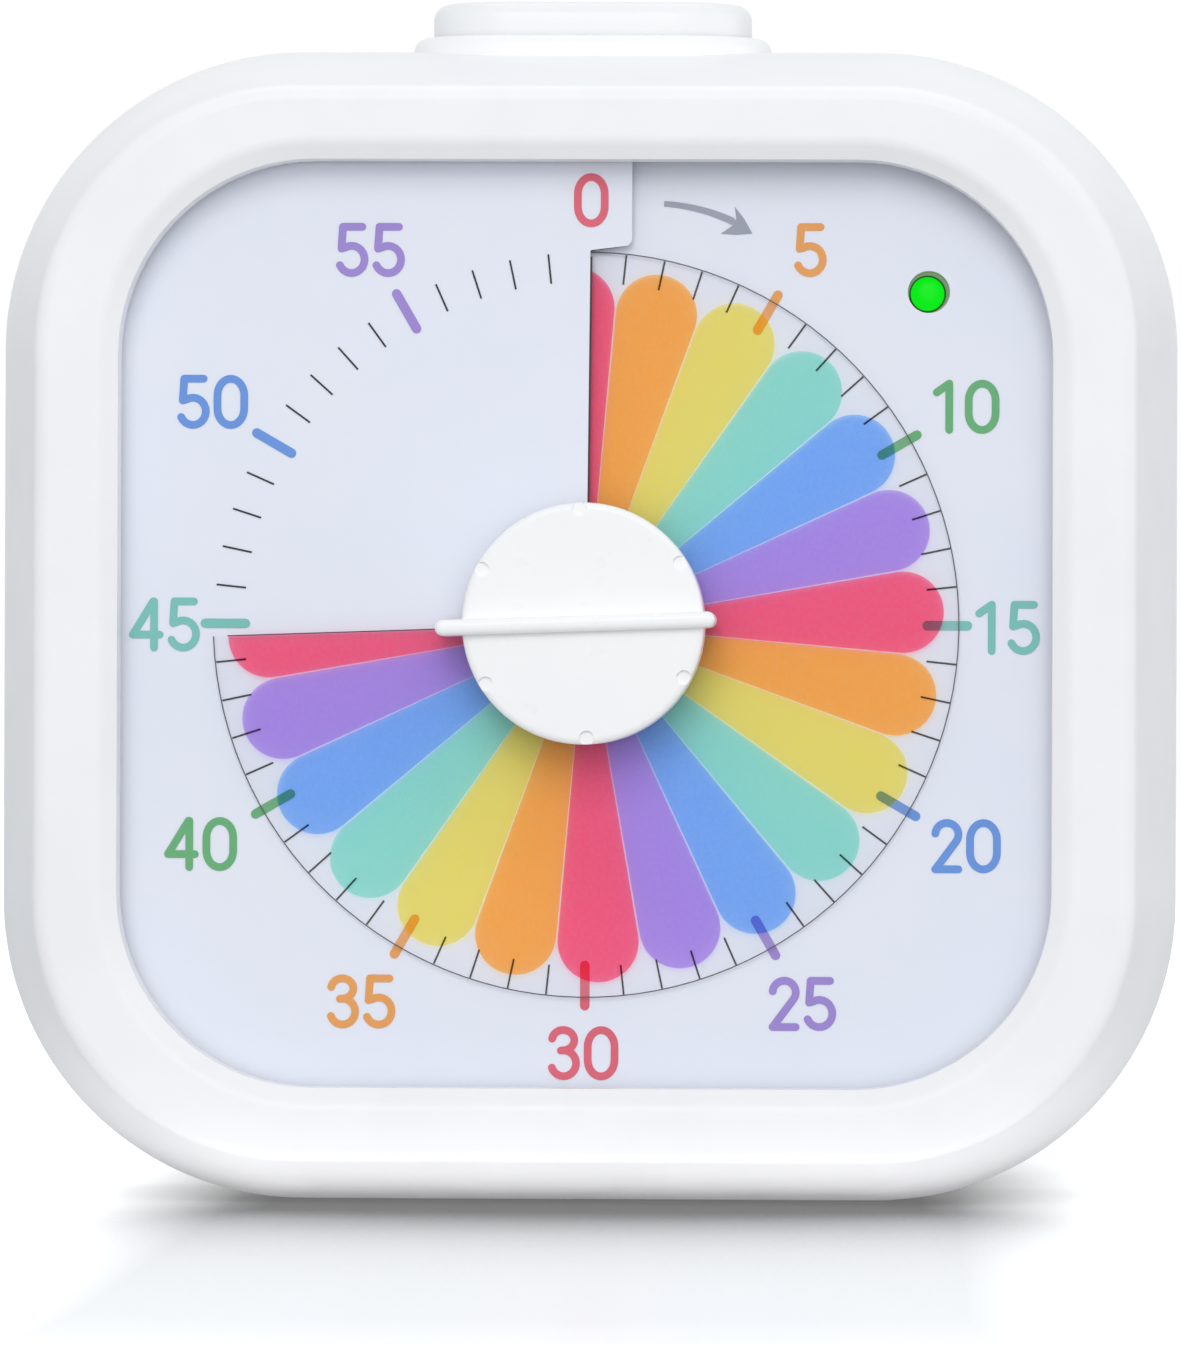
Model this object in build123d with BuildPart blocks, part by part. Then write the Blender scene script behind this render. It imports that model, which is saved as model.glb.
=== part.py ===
from build123d import *
import math
import os

# Visual countdown timer: a rounded-square desk timer with a spiral dial card, a clear film
# disc that winds out through the card's slit, a setting knob, a top button and a lamp.
#
# Frame: +X to the viewer's right, +Z up, the dial faces -Y, origin under the middle.
# "Depth" is millimetres back from the front of the bezel. Dial angles are degrees
# clockwise from 12 o'clock, so 60 minutes make 360 degrees.

# ---------------------------------------------------------------- driving dimensions (mm)

# Body
BODY_WIDTH = 90.0
BODY_HEIGHT = 88.0
BODY_CORNER = 23.0
BODY_DEPTH = 40.0
WALL = 2.0
PARTING_DEPTH = 26.0
FRONT_INSET = 3.6
FRONT_RUN = 12.0
FRONT_EDGE_ROUND = 1.2
REAR_INSET = 1.5
REAR_RUN = 10.0
REAR_EDGE_ROUND = 2.5
SIDE_BLEND = 30.0
SEAM_LIP = 1.5
SEAM_LIP_WALL = 0.9
SEAM_CLEARANCE = 0.1
SEAM_CHAMFER = 0.25

# Window in the bezel
BEZEL_SIDE = 9.72
BEZEL_END = 8.95
WINDOW_CORNER = 14.8
WINDOW_DEPTH = 4.8
WINDOW_WALL = 1.6
WINDOW_BEVEL = 1.35
WINDOW_BEVEL_DEPTH = 0.78
WINDOW_ROUND = 1.4

# Spiral dial card and film
PITCH = 1.2
CARD_THICK = 0.4
CARD_GAP = 0.2
CARD_MARGIN = 2.0
CARD_CORNER = 20.0
CARD_BORE = 5.4
CARD_LAP = 4.0
TAB_WIDTH = 3.4
TAB_RADIUS = 28.4
TAB_RISE = 0.35
TAB_CORNER = 0.5
TAB_ROUND = 0.6
SLIT_ANGLE = 0.5
FILM_THICK = 0.2
FILM_RADIUS = 28.3
SHEET_GAP = 0.3
SET_ANGLE = 268.0
POCKET_MARGIN = 1.0
POCKET_GAP = 0.3

# Dial plate
PLATE_THICK = 1.8
PLATE_CLEARANCE = 0.4
PLATE_SCREW_SIDE = 11.2
PLATE_SCREW_END = 10.9
PLATE_BOSS_RADIUS = 2.1
PLATE_SKIN = 0.4

# Setting knob and drive hub
KNOB_RADIUS = 9.1
KNOB_FACE_REACH = 2.8
KNOB_BAR_RISE = 1.2
KNOB_BAR_WIDTH = 1.2
KNOB_BAR_POINTER = 11.1
KNOB_BAR_TAIL = 9.95
KNOB_BAR_ROUND = 0.5
KNOB_EDGE_ROUND = 0.5
KNOB_SKIN = 1.5
KNOB_BOSS_RADIUS = 3.6
KNOB_GAP = 0.3
NOTCH_COUNT = 6
NOTCH_RADIUS = 0.55
NOTCH_DEPTH = 0.35
HUB_RADIUS = 4.0
HUB_GAP = 0.2
SPLINE_COUNT = 6
SPLINE_WIDTH = 1.4
SPLINE_HEIGHT = 0.6
SPLINE_CLEARANCE = 0.1
ARBOR_RADIUS = 1.5
ARBOR_KNOB_DEPTH = 4.5
ARBOR_PIVOT_RADIUS = 1.0
RUNNING_CLEARANCE = 0.05

# Button on top
BUTTON_LENGTH = 24.5
BUTTON_WIDTH = 11.5
BUTTON_RISE = 3.75
BUTTON_ROUND = 1.2
BUTTON_DEPTH = 18.0
BUTTON_CLEARANCE = 0.2
BUTTON_FLANGE = 1.0
BUTTON_FLANGE_THICK = 1.2
BUTTON_STEM_RADIUS = 2.0
BUTTON_SKIN = 1.4
COLLAR_MARGIN = 1.5
COLLAR_RISE = 1.15
COLLAR_ROUND = 1.0

# Movement case and gears
MOVEMENT_CLEARANCE = 1.0
MOVEMENT_CORNER = 4.0
MOVEMENT_THICK = 11.6
MOVEMENT_WALL = 1.5
MOVEMENT_SKIN = 1.2
MOVEMENT_SPLIT = 5.8
MOVEMENT_SCREW_INSET = 2.8
MOVEMENT_BOSS_RADIUS = 2.2
CENTRE_TEETH = 48
IDLER_PINION_TEETH = 12
CENTRE_MODULE = 0.5
IDLER_TEETH = 48
ROTOR_TEETH = 10
ROTOR_MODULE = 0.4
TOOTH_ADDENDUM = 0.8
TOOTH_DEDENDUM = 1.15
TOOTH_SHARE = 0.39
TOOTH_SLOPE = 20.0
TOOTH_SUNK = 0.1
IDLER_DIRECTION = -45.0
ROTOR_DIRECTION = 196.0
CENTRE_WHEEL_DEPTH = 16.4
CENTRE_WHEEL_THICK = 1.2
IDLER_WHEEL_DEPTH = 13.6
IDLER_WHEEL_THICK = 1.0
PINION_OVERHANG = 0.4
IDLER_PIN_RADIUS = 0.6
ROTOR_SHAFT_RADIUS = 0.4
PIVOT_SEAT = 0.7
MAGNET_RADIUS = 2.5
MAGNET_THICK = 1.2
STATOR_LENGTH = 22.0
STATOR_HEIGHT = 10.0
STATOR_LEG = 2.4
STATOR_THICK = 1.0
STATOR_GAP = 0.5
STATOR_REACH = 6.0
COIL_REACH = 10.0
REST_RADIUS = 0.9
WHEEL_HOLE_COUNT = 6
WHEEL_HOLE_RADIUS = 2.4
WHEEL_HOLE_RING = 6.0
COIL_LENGTH = 9.6
COIL_HEIGHT = 5.2
COIL_DEPTH = 4.0
COIL_FLANGE = 0.5
COIL_TUBE = 0.4
COIL_CLEARANCE = 0.1
WINDING_INSET = 0.3

# Lamp, main board and button switch
LAMP_SIDE = 9.38
LAMP_END = 9.75
LAMP_RADIUS = 1.5
LAMP_ROUND = 1.2
LAMP_CLEARANCE = 0.1
LAMP_RECESS = 0.35
LAMP_FLANGE_RADIUS = 1.95
LAMP_FLANGE_THICK = 1.0
LEAD_WIDTH = 0.5
LEAD_PITCH = 2.54
LEAD_STUB = 0.8
BOARD_THICK = 1.2
BOARD_STANDOFF = 2.8
BOARD_LEFT = -18.0
BOARD_PAST_LAMP = 5.1
BOARD_BELOW_LAMP = 1.3
BOARD_GAP = 1.0
BOARD_DROP = 7.0
BOARD_POST_RADIUS = 2.0
BOARD_POST_INSET = 3.6
TACT_WIDTH = 7.0
TACT_HEIGHT = 4.2
TACT_PLUNGER_RADIUS = 1.7
TACT_PLUNGER_REACH = 1.2
TACT_SEAT = 1.6
TACT_GAP = 0.1

# Battery bay, door and cells
CELL_RADIUS = 5.25
CELL_LENGTH = 44.5
CELL_NUB_RADIUS = 1.9
CELL_NUB = 1.2
CELL_SPACING = 11.6
CELL_CLEARANCE = 0.3
CELL_CENTRE_Z = -16.5
SPRING_LENGTH = 4.7
BAY_WALL = 1.2
CONTACT_SIZE = 9.0
CONTACT_THICK = 0.4
SPRING_RADIUS = 2.6
SPRING_WIRE_RADIUS = 0.25
SPRING_TURNS = 4.0
DOOR_THICK = 1.2
DOOR_CHAMFER = 0.2
DOOR_HINGE_ROUND = 0.58
DOOR_LEDGE = 1.8
DOOR_CLEARANCE = 0.15
DOOR_PIN_RADIUS = 0.4
DOOR_PIN_LENGTH = 1.2
DOOR_PIN_SEAT = 1.8
DOOR_PIN_CLEARANCE = 0.08
DOOR_SINK = 0.1
DOOR_GRIP_LENGTH = 10.0
DOOR_GRIP_WIDTH = 0.8
DOOR_GRIP_DEPTH = 0.5
DOOR_GRIP_COUNT = 4
DOOR_GRIP_PITCH = 1.8

# Volume switch
VOLUME_X = -20.0
VOLUME_Z = 26.0
VOLUME_TRAVEL = 2.0
VOLUME_CLEARANCE = 0.2
THUMB_LENGTH = 4.0
THUMB_WIDTH = 2.6
THUMB_SINK = 0.1
THUMB_GROOVE = 0.4
THUMB_GROOVE_COUNT = 3
THUMB_GROOVE_PITCH = 1.0
STEM_WIDTH = 2.0
STEM_SEAT = 1.5
RECESS_DEPTH = 1.0
RECESS_MARGIN = 1.5
SWITCH_LENGTH = 10.0
SWITCH_WIDTH = 4.6
SWITCH_THICK = 4.0
VOLUME_BOARD_LENGTH = 18.0
VOLUME_BOARD_WIDTH = 8.0
VOLUME_POST_SPAN = 14.0
VOLUME_POST_RADIUS = 1.5
STAKE_RADIUS = 0.7
STAKE_CLEARANCE = 0.1

# Buzzer and sound holes
BUZZER_X = 20.0
BUZZER_Z = 24.0
BUZZER_RADIUS = 10.0
BUZZER_THICK = 0.5
CERAMIC_RADIUS = 7.0
CERAMIC_THICK = 0.25
BUZZER_SEAT = 0.5
BUZZER_SEAT_WIDTH = 1.0
BUZZER_RIM = 1.1
SOUND_HOLE_RADIUS = 0.75
SOUND_RING_PITCH = 2.8
SOUND_RINGS = 2

# Screws
CASE_SCREW_SIDE = 7.5
CASE_SCREW_Z = 20.0
CASE_SCREW_RADIUS = 1.1
CASE_HEAD_RADIUS = 2.0
CASE_HEAD_THICK = 1.5
CASE_SEAT_DEPTH = 30.0
CASE_SCREW_REACH = 6.0
CASE_BOSS_RADIUS = 2.7
CASE_BOSS_START = 14.0
CASE_RIB = 1.8
SMALL_SCREW_RADIUS = 0.85
SMALL_HEAD_RADIUS = 1.7
SMALL_HEAD_THICK = 1.1
SCREW_CLEARANCE = 0.1
SCREW_END_GAP = 0.5
DRIVE_SPAN = 0.6
DRIVE_WIDTH = 0.5
DRIVE_DEPTH = 0.6

# ---------------------------------------------------------------- worked-out places

WINDOW_WIDTH = BODY_WIDTH - 2 * BEZEL_SIDE
WINDOW_HEIGHT = BODY_HEIGHT - 2 * BEZEL_END
KNOB_REACH = KNOB_FACE_REACH + KNOB_BAR_RISE
MID_DEPTH = (BODY_DEPTH - KNOB_REACH) / 2
DIAL_Z = BODY_HEIGHT / 2

CARD_END_DEPTH = WINDOW_DEPTH + CARD_GAP
CARD_DEPTH = CARD_END_DEPTH + PITCH
FILM_DEPTH = CARD_DEPTH - SHEET_GAP - FILM_THICK
FILM_FRONT = FILM_DEPTH - PITCH
POCKET_DEPTH = FILM_DEPTH + FILM_THICK + PITCH + POCKET_GAP
POCKET_RADIUS = FILM_RADIUS + POCKET_MARGIN
PLATE_BACK = POCKET_DEPTH + PLATE_THICK
CARD_WIDTH = WINDOW_WIDTH + 2 * CARD_MARGIN
CARD_HEIGHT = WINDOW_HEIGHT + 2 * CARD_MARGIN

KNOB_BACK = FILM_FRONT - KNOB_GAP
HUB_BACK = POCKET_DEPTH - HUB_GAP

CENTRE_RADIUS = CENTRE_TEETH * CENTRE_MODULE / 2
IDLER_PINION_RADIUS = IDLER_PINION_TEETH * CENTRE_MODULE / 2
IDLER_RADIUS = IDLER_TEETH * ROTOR_MODULE / 2
ROTOR_RADIUS = ROTOR_TEETH * ROTOR_MODULE / 2
IDLER_AT = Vector(CENTRE_RADIUS + IDLER_PINION_RADIUS, 0).rotate(Axis.Z, IDLER_DIRECTION)
ROTOR_AT = IDLER_AT + Vector(IDLER_RADIUS + ROTOR_RADIUS, 0).rotate(Axis.Z, ROTOR_DIRECTION)
IDLER_TIP = IDLER_AT.X + IDLER_RADIUS + TOOTH_ADDENDUM * ROTOR_MODULE
MOVEMENT_WIDTH = 2 * (IDLER_TIP + MOVEMENT_CLEARANCE + MOVEMENT_WALL)
MOVEMENT_SCREW = MOVEMENT_WIDTH / 2 - MOVEMENT_SCREW_INSET
MOVEMENT_BACK = PLATE_BACK + MOVEMENT_THICK
MOVEMENT_MIDDLE = PLATE_BACK + MOVEMENT_SPLIT
MOVEMENT_INNER_FRONT = PLATE_BACK + MOVEMENT_SKIN
MOVEMENT_INNER_BACK = MOVEMENT_BACK - MOVEMENT_SKIN

MAGNET_BACK = IDLER_WHEEL_DEPTH - PINION_OVERHANG
MAGNET_DEPTH = MAGNET_BACK - MAGNET_THICK
STATOR_DEPTH = MAGNET_DEPTH + (MAGNET_THICK - STATOR_THICK) / 2
STATOR_AT = ROTOR_AT - Vector(STATOR_REACH, 0)
COIL_AT = ROTOR_AT + Vector(-COIL_REACH, (STATOR_HEIGHT - STATOR_LEG) / 2)

LAMP_X = WINDOW_WIDTH / 2 - LAMP_SIDE
LAMP_Z = WINDOW_HEIGHT / 2 - LAMP_END
BOARD_RIGHT = LAMP_X + BOARD_PAST_LAMP
BOARD_TOP = BODY_HEIGHT / 2 - BOARD_DROP
BOARD_EDGE = MOVEMENT_WIDTH / 2 + BOARD_GAP
BOARD_POST_Z = BOARD_TOP - BOARD_POST_INSET
BOARD_DEPTH = PLATE_BACK + BOARD_STANDOFF
BOARD_BACK = BOARD_DEPTH + BOARD_THICK
TACT_DEPTH = 2 * (BUTTON_DEPTH - BOARD_BACK)
TACT_TOP = DIAL_Z + BOARD_TOP
PLUNGER_TOP = TACT_TOP + TACT_PLUNGER_REACH
BUTTON_TRAVEL = TACT_PLUNGER_REACH - BUTTON_CLEARANCE * 2
BUTTON_TOP = BODY_HEIGHT + BUTTON_RISE
ROOF = BODY_HEIGHT - WALL

DOOR_BACK = BODY_DEPTH - DOOR_SINK
DOOR_FRONT = DOOR_BACK - DOOR_THICK
DOOR_SEAT = DOOR_FRONT - DOOR_SINK
BAY_LENGTH = CELL_LENGTH + 2 * CONTACT_THICK + SPRING_LENGTH
BAY_HEIGHT = CELL_SPACING + 2 * (CELL_RADIUS + CELL_CLEARANCE)
CELL_DEPTH = DOOR_SEAT - WALL / 2 - CELL_RADIUS
BAY_FLOOR = CELL_DEPTH - CELL_RADIUS - CELL_CLEARANCE
DOOR_LENGTH = BAY_LENGTH + 2 * DOOR_LEDGE
DOOR_HEIGHT = BAY_HEIGHT + 2 * DOOR_LEDGE
HINGE_Z = CELL_CENTRE_Z - DOOR_HEIGHT / 2 + DOOR_THICK / 2

REAR_INNER = BODY_DEPTH - WALL
CASE_SCREW_X = BODY_WIDTH / 2 - CASE_SCREW_SIDE
CASE_SCREWS = GridLocations(2 * CASE_SCREW_X, 2 * CASE_SCREW_Z, 2, 2)
PLATE_SCREWS = GridLocations(
    BODY_WIDTH - 2 * PLATE_SCREW_SIDE, BODY_HEIGHT - 2 * PLATE_SCREW_END, 2, 2
)
MOVEMENT_SCREWS = GridLocations(2 * MOVEMENT_SCREW, 2 * MOVEMENT_SCREW, 2, 2)
BOARD_POSTS = Locations(
    (BOARD_LEFT + BOARD_POST_INSET, BOARD_POST_Z), (BOARD_RIGHT - BOARD_POST_INSET, BOARD_POST_Z)
)

os.makedirs("parts", exist_ok=True)


# ---------------------------------------------------------------- shared geometry


def facing(depth, turned=0.0):
    """Plane across the dial's axis at this depth, facing the viewer, x to the right."""
    sideways = Vector(1, 0, 0).rotate(Axis.Y, -turned)
    return Plane((0, depth - MID_DEPTH, DIAL_Z), x_dir=sideways, z_dir=(0, -1, 0))


def rearward(depth):
    """Plane across the dial's axis at this depth, facing away from the viewer."""
    return Plane((0, depth - MID_DEPTH, DIAL_Z), x_dir=(-1, 0, 0), z_dir=(0, 1, 0))


def level(height):
    """Horizontal plane at this height, x to the right, y to the back from the button's middle."""
    return Plane((0, BUTTON_DEPTH - MID_DEPTH, height), x_dir=(1, 0, 0), z_dir=(0, 0, 1))


def outline(inset=0.0):
    """Rounded-square outline of the body, drawn in from its widest section."""
    RectangleRounded(BODY_WIDTH - 2 * inset, BODY_HEIGHT - 2 * inset, BODY_CORNER - inset)


def front_inset(depth):
    """How far the sloping front stands in from the widest section at this depth."""
    return FRONT_INSET * max(0.0, 1 - depth / FRONT_RUN)


def edges_across(builder, depth):
    """Edges of the builder's part that lie across the dial's axis at this depth."""
    place = depth - MID_DEPTH
    return builder.edges().filter_by_position(Axis.Y, place - 0.01, place + 0.01)


def spiral_sheet(inner_radius, outer_radius, depth, start, end):
    """Sheet face that winds clockwise and forward; depth is its place at 12 o'clock."""
    rise = PITCH * (end - start) / 360
    sides = [Edge.make_helix(PITCH, rise, r, lefthand=True) for r in (inner_radius, outer_radius)]
    sheet = Face.make_surface_from_curves(*sides)
    return facing(depth - PITCH * start / 360, 90 - start).from_local_coords(sheet)


def card_outline(shrink=0.0):
    """Outline of the dial card."""
    RectangleRounded(CARD_WIDTH - 2 * shrink, CARD_HEIGHT - 2 * shrink, CARD_CORNER - shrink)


def splines(clearance=0.0):
    """Outline of the splined hub, larger all round by the clearance."""
    Circle(HUB_RADIUS + clearance)
    with PolarLocations(HUB_RADIUS, SPLINE_COUNT):
        Rectangle(2 * (SPLINE_HEIGHT + clearance), SPLINE_WIDTH + 2 * clearance)


def gear(teeth, module, turned):
    """Straight-sided gear outline with a tooth at the turned angle."""
    root = (teeth / 2 - TOOTH_DEDENDUM) * module
    below = (TOOTH_DEDENDUM + TOOTH_SUNK) * module
    height = TOOTH_ADDENDUM * module + below
    base = TOOTH_SHARE * math.pi * module + 2 * below * math.tan(math.radians(TOOTH_SLOPE))
    Circle(root)
    with PolarLocations(root - TOOTH_SUNK * module, teeth, start_angle=turned):
        Trapezoid(base, height, 90 - TOOTH_SLOPE, rotation=-90, align=(Align.CENTER, Align.MIN))


def screws(seat_depth, places, shank_radius, length, head_radius, head_thick):
    """Pan-head screws driven from behind: the heads sit on the seat, the shanks run forward."""
    with BuildSketch(facing(seat_depth + head_thick)) as heads, places:
        Circle(head_radius)
    extrude(heads.sketch, amount=head_thick)
    with BuildSketch(facing(seat_depth)) as shanks, places:
        Circle(shank_radius)
    extrude(shanks.sketch, amount=length)
    with BuildSketch(facing(seat_depth + head_thick)) as drives, places:
        Rectangle(2 * DRIVE_SPAN * head_radius, DRIVE_WIDTH)
        Rectangle(DRIVE_WIDTH, 2 * DRIVE_SPAN * head_radius)
    extrude(drives.sketch, amount=DRIVE_DEPTH, mode=Mode.SUBTRACT)


def save(part, label):
    """Names a finished piece and writes its file."""
    part.label = label
    export_step(part, f"parts/{label}.step")


# ---------------------------------------------------------------- front shell

with BuildPart() as front_shell:
    # Straight belt, then the front that slopes in to the bezel
    with BuildSketch(facing(PARTING_DEPTH)):
        outline()
    extrude(amount=PARTING_DEPTH - FRONT_RUN)
    chamfer(edges_across(front_shell, PARTING_DEPTH), SEAM_CHAMFER)
    with BuildSketch(facing(FRONT_RUN)):
        outline()
    extrude(amount=FRONT_RUN, taper=math.degrees(math.atan(FRONT_INSET / FRONT_RUN)))
    fillet(edges_across(front_shell, FRONT_RUN), SIDE_BLEND)
    fillet(front_shell.faces().sort_by(Axis.Y)[0].edges(), FRONT_EDGE_ROUND)

    # Collar round the button
    with BuildSketch(level(ROOF)):
        SlotOverall(BUTTON_LENGTH + 2 * COLLAR_MARGIN, BUTTON_WIDTH + 2 * COLLAR_MARGIN)
    extrude(amount=WALL + COLLAR_RISE)
    fillet(front_shell.faces().sort_by(Axis.Z)[-1].edges(), COLLAR_ROUND)

    # Cavity behind the front wall
    with BuildSketch(facing(PARTING_DEPTH)):
        outline(WALL)
    extrude(amount=PARTING_DEPTH - FRONT_RUN, mode=Mode.SUBTRACT)
    with BuildSketch(facing(FRONT_RUN)):
        outline(WALL)
    extrude(
        amount=FRONT_RUN - WALL,
        taper=math.degrees(math.atan(FRONT_INSET / FRONT_RUN)),
        mode=Mode.SUBTRACT,
    )

    # Bosses for the dial plate and for the case screws
    with BuildSketch(facing(POCKET_DEPTH)):
        with PLATE_SCREWS:
            Circle(PLATE_BOSS_RADIUS)
    extrude(amount=POCKET_DEPTH - WALL / 2)
    with BuildSketch(facing(PARTING_DEPTH)):
        with CASE_SCREWS:
            Circle(CASE_BOSS_RADIUS)
        for side in (-1, 1):
            rib_end = side * (BODY_WIDTH / 2 - WALL / 2)
            with GridLocations(0, 2 * CASE_SCREW_Z, 1, 2):
                with Locations(((side * CASE_SCREW_X + rib_end) / 2, 0)):
                    Rectangle(abs(rib_end) - CASE_SCREW_X, CASE_RIB)
    extrude(amount=PARTING_DEPTH - CASE_BOSS_START)
    with BuildSketch(facing(POCKET_DEPTH)):
        with PLATE_SCREWS:
            Circle(SMALL_SCREW_RADIUS)
    extrude(amount=POCKET_DEPTH - WALL, mode=Mode.SUBTRACT)
    with BuildSketch(facing(PARTING_DEPTH)):
        with CASE_SCREWS:
            Circle(CASE_SCREW_RADIUS)
    extrude(amount=CASE_SCREW_REACH + SCREW_END_GAP, mode=Mode.SUBTRACT)

    # Window and the wall that frames it
    with BuildSketch(facing(WINDOW_DEPTH)):
        RectangleRounded(
            WINDOW_WIDTH + 2 * WINDOW_WALL,
            WINDOW_HEIGHT + 2 * WINDOW_WALL,
            WINDOW_CORNER + WINDOW_WALL,
        )
    extrude(amount=WINDOW_DEPTH - WALL / 2)
    with BuildSketch(facing(WINDOW_DEPTH)):
        RectangleRounded(WINDOW_WIDTH, WINDOW_HEIGHT, WINDOW_CORNER)
    extrude(amount=WINDOW_DEPTH, mode=Mode.SUBTRACT)
    bezel = front_shell.faces().sort_by(Axis.Y)[0]
    chamfer(bezel.inner_wires()[0].edges(), WINDOW_BEVEL, WINDOW_BEVEL_DEPTH, reference=bezel)
    fillet(front_shell.faces().sort_by(Axis.Y)[0].inner_wires()[0].edges(), WINDOW_ROUND)

    # Button opening
    with BuildSketch(level(ROOF - WALL)):
        SlotOverall(BUTTON_LENGTH + 2 * BUTTON_CLEARANCE, BUTTON_WIDTH + 2 * BUTTON_CLEARANCE)
    extrude(amount=2 * WALL + COLLAR_RISE, mode=Mode.SUBTRACT)

save(front_shell.part, "front_shell")

# ---------------------------------------------------------------- rear shell

with BuildPart() as rear_shell:
    # Belt and the tapered back
    with BuildSketch(rearward(PARTING_DEPTH)):
        outline()
    extrude(amount=BODY_DEPTH - REAR_RUN - PARTING_DEPTH)
    chamfer(edges_across(rear_shell, PARTING_DEPTH), SEAM_CHAMFER)
    with BuildSketch(rearward(BODY_DEPTH - REAR_RUN)):
        outline()
    extrude(amount=REAR_RUN, taper=math.degrees(math.atan(REAR_INSET / REAR_RUN)))
    fillet(edges_across(rear_shell, BODY_DEPTH - REAR_RUN), SIDE_BLEND)
    fillet(rear_shell.faces().sort_by(Axis.Y)[-1].edges(), REAR_EDGE_ROUND)

    # Cavity
    with BuildSketch(rearward(PARTING_DEPTH)):
        outline(WALL)
    extrude(amount=BODY_DEPTH - REAR_RUN - PARTING_DEPTH, mode=Mode.SUBTRACT)
    with BuildSketch(rearward(BODY_DEPTH - REAR_RUN)):
        outline(WALL)
    extrude(
        amount=REAR_RUN - WALL,
        taper=math.degrees(math.atan(REAR_INSET / REAR_RUN)),
        mode=Mode.SUBTRACT,
    )

    # Lip that enters the front shell
    with BuildSketch(facing(PARTING_DEPTH + SEAM_LIP)):
        outline(WALL / 2)
        outline_inner = WALL + SEAM_CLEARANCE + SEAM_LIP_WALL
        RectangleRounded(
            BODY_WIDTH - 2 * outline_inner,
            BODY_HEIGHT - 2 * outline_inner,
            BODY_CORNER - outline_inner,
            mode=Mode.SUBTRACT,
        )
    extrude(amount=SEAM_LIP)
    with BuildSketch(facing(PARTING_DEPTH)):
        outline(WALL + SEAM_CLEARANCE)
        RectangleRounded(
            BODY_WIDTH - 2 * outline_inner,
            BODY_HEIGHT - 2 * outline_inner,
            BODY_CORNER - outline_inner,
            mode=Mode.SUBTRACT,
        )
        with CASE_SCREWS:
            Rectangle(4 * CASE_BOSS_RADIUS, 4 * CASE_BOSS_RADIUS, mode=Mode.SUBTRACT)
    extrude(amount=SEAM_LIP)

    # Screw bosses
    with BuildSketch(rearward(PARTING_DEPTH)):
        with CASE_SCREWS:
            Circle(CASE_BOSS_RADIUS)
    extrude(amount=REAR_INNER + WALL / 2 - PARTING_DEPTH)

    # Battery bay
    with BuildSketch(rearward(BAY_FLOOR - BAY_WALL)):
        with Locations((0, CELL_CENTRE_Z)):
            Rectangle(BAY_LENGTH + 2 * BAY_WALL, BAY_HEIGHT + 2 * BAY_WALL)
    extrude(amount=REAR_INNER + WALL / 2 - BAY_FLOOR + BAY_WALL)

    # Door seat with its hinge sockets, then the bay's hollow
    with BuildSketch(rearward(DOOR_SEAT)):
        with Locations((0, CELL_CENTRE_Z)):
            Rectangle(DOOR_LENGTH + 2 * DOOR_CLEARANCE, DOOR_HEIGHT + 2 * DOOR_CLEARANCE)
    extrude(amount=WALL, mode=Mode.SUBTRACT)
    socket_end = DOOR_LENGTH / 2 + DOOR_CLEARANCE + DOOR_PIN_SEAT
    with BuildSketch(Plane.YZ.offset(-socket_end)):
        with Locations((DOOR_FRONT + DOOR_THICK / 2 - MID_DEPTH, DIAL_Z + HINGE_Z)):
            Circle(DOOR_PIN_RADIUS + DOOR_PIN_CLEARANCE)
    extrude(amount=2 * socket_end, mode=Mode.SUBTRACT)
    with BuildSketch(rearward(BAY_FLOOR)):
        with Locations((0, CELL_CENTRE_Z)):
            Rectangle(BAY_LENGTH, BAY_HEIGHT)
    extrude(amount=BODY_DEPTH - BAY_FLOOR, mode=Mode.SUBTRACT)

    # Screw holes, open to the back
    with BuildSketch(rearward(PARTING_DEPTH)):
        with CASE_SCREWS:
            Circle(CASE_SCREW_RADIUS + SCREW_CLEARANCE)
    extrude(amount=BODY_DEPTH - PARTING_DEPTH, mode=Mode.SUBTRACT)
    with BuildSketch(rearward(CASE_SEAT_DEPTH)):
        with CASE_SCREWS:
            Circle(CASE_HEAD_RADIUS + 2 * SCREW_CLEARANCE)
    extrude(amount=BODY_DEPTH - CASE_SEAT_DEPTH, mode=Mode.SUBTRACT)

    # Buzzer seat, rim and sound holes
    with BuildSketch(facing(REAR_INNER + WALL / 2)):
        with Locations((BUZZER_X, BUZZER_Z)):
            Circle(BUZZER_RADIUS + SCREW_CLEARANCE + BUZZER_RIM)
            Circle(BUZZER_RADIUS + SCREW_CLEARANCE, mode=Mode.SUBTRACT)
    extrude(amount=WALL / 2 + BUZZER_SEAT + 2 * BUZZER_THICK)
    with BuildSketch(facing(REAR_INNER + WALL / 2)):
        with Locations((BUZZER_X, BUZZER_Z)):
            Circle(BUZZER_RADIUS + SCREW_CLEARANCE + BUZZER_RIM / 2)
            Circle(BUZZER_RADIUS - BUZZER_SEAT_WIDTH, mode=Mode.SUBTRACT)
    extrude(amount=WALL / 2 + BUZZER_SEAT)
    with BuildSketch(rearward(REAR_INNER)):
        with Locations((-BUZZER_X, BUZZER_Z)):
            Circle(SOUND_HOLE_RADIUS)
            for ring in range(1, SOUND_RINGS + 1):
                with PolarLocations(ring * SOUND_RING_PITCH, 6 * ring):
                    Circle(SOUND_HOLE_RADIUS)
    extrude(amount=WALL, mode=Mode.SUBTRACT)

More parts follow.
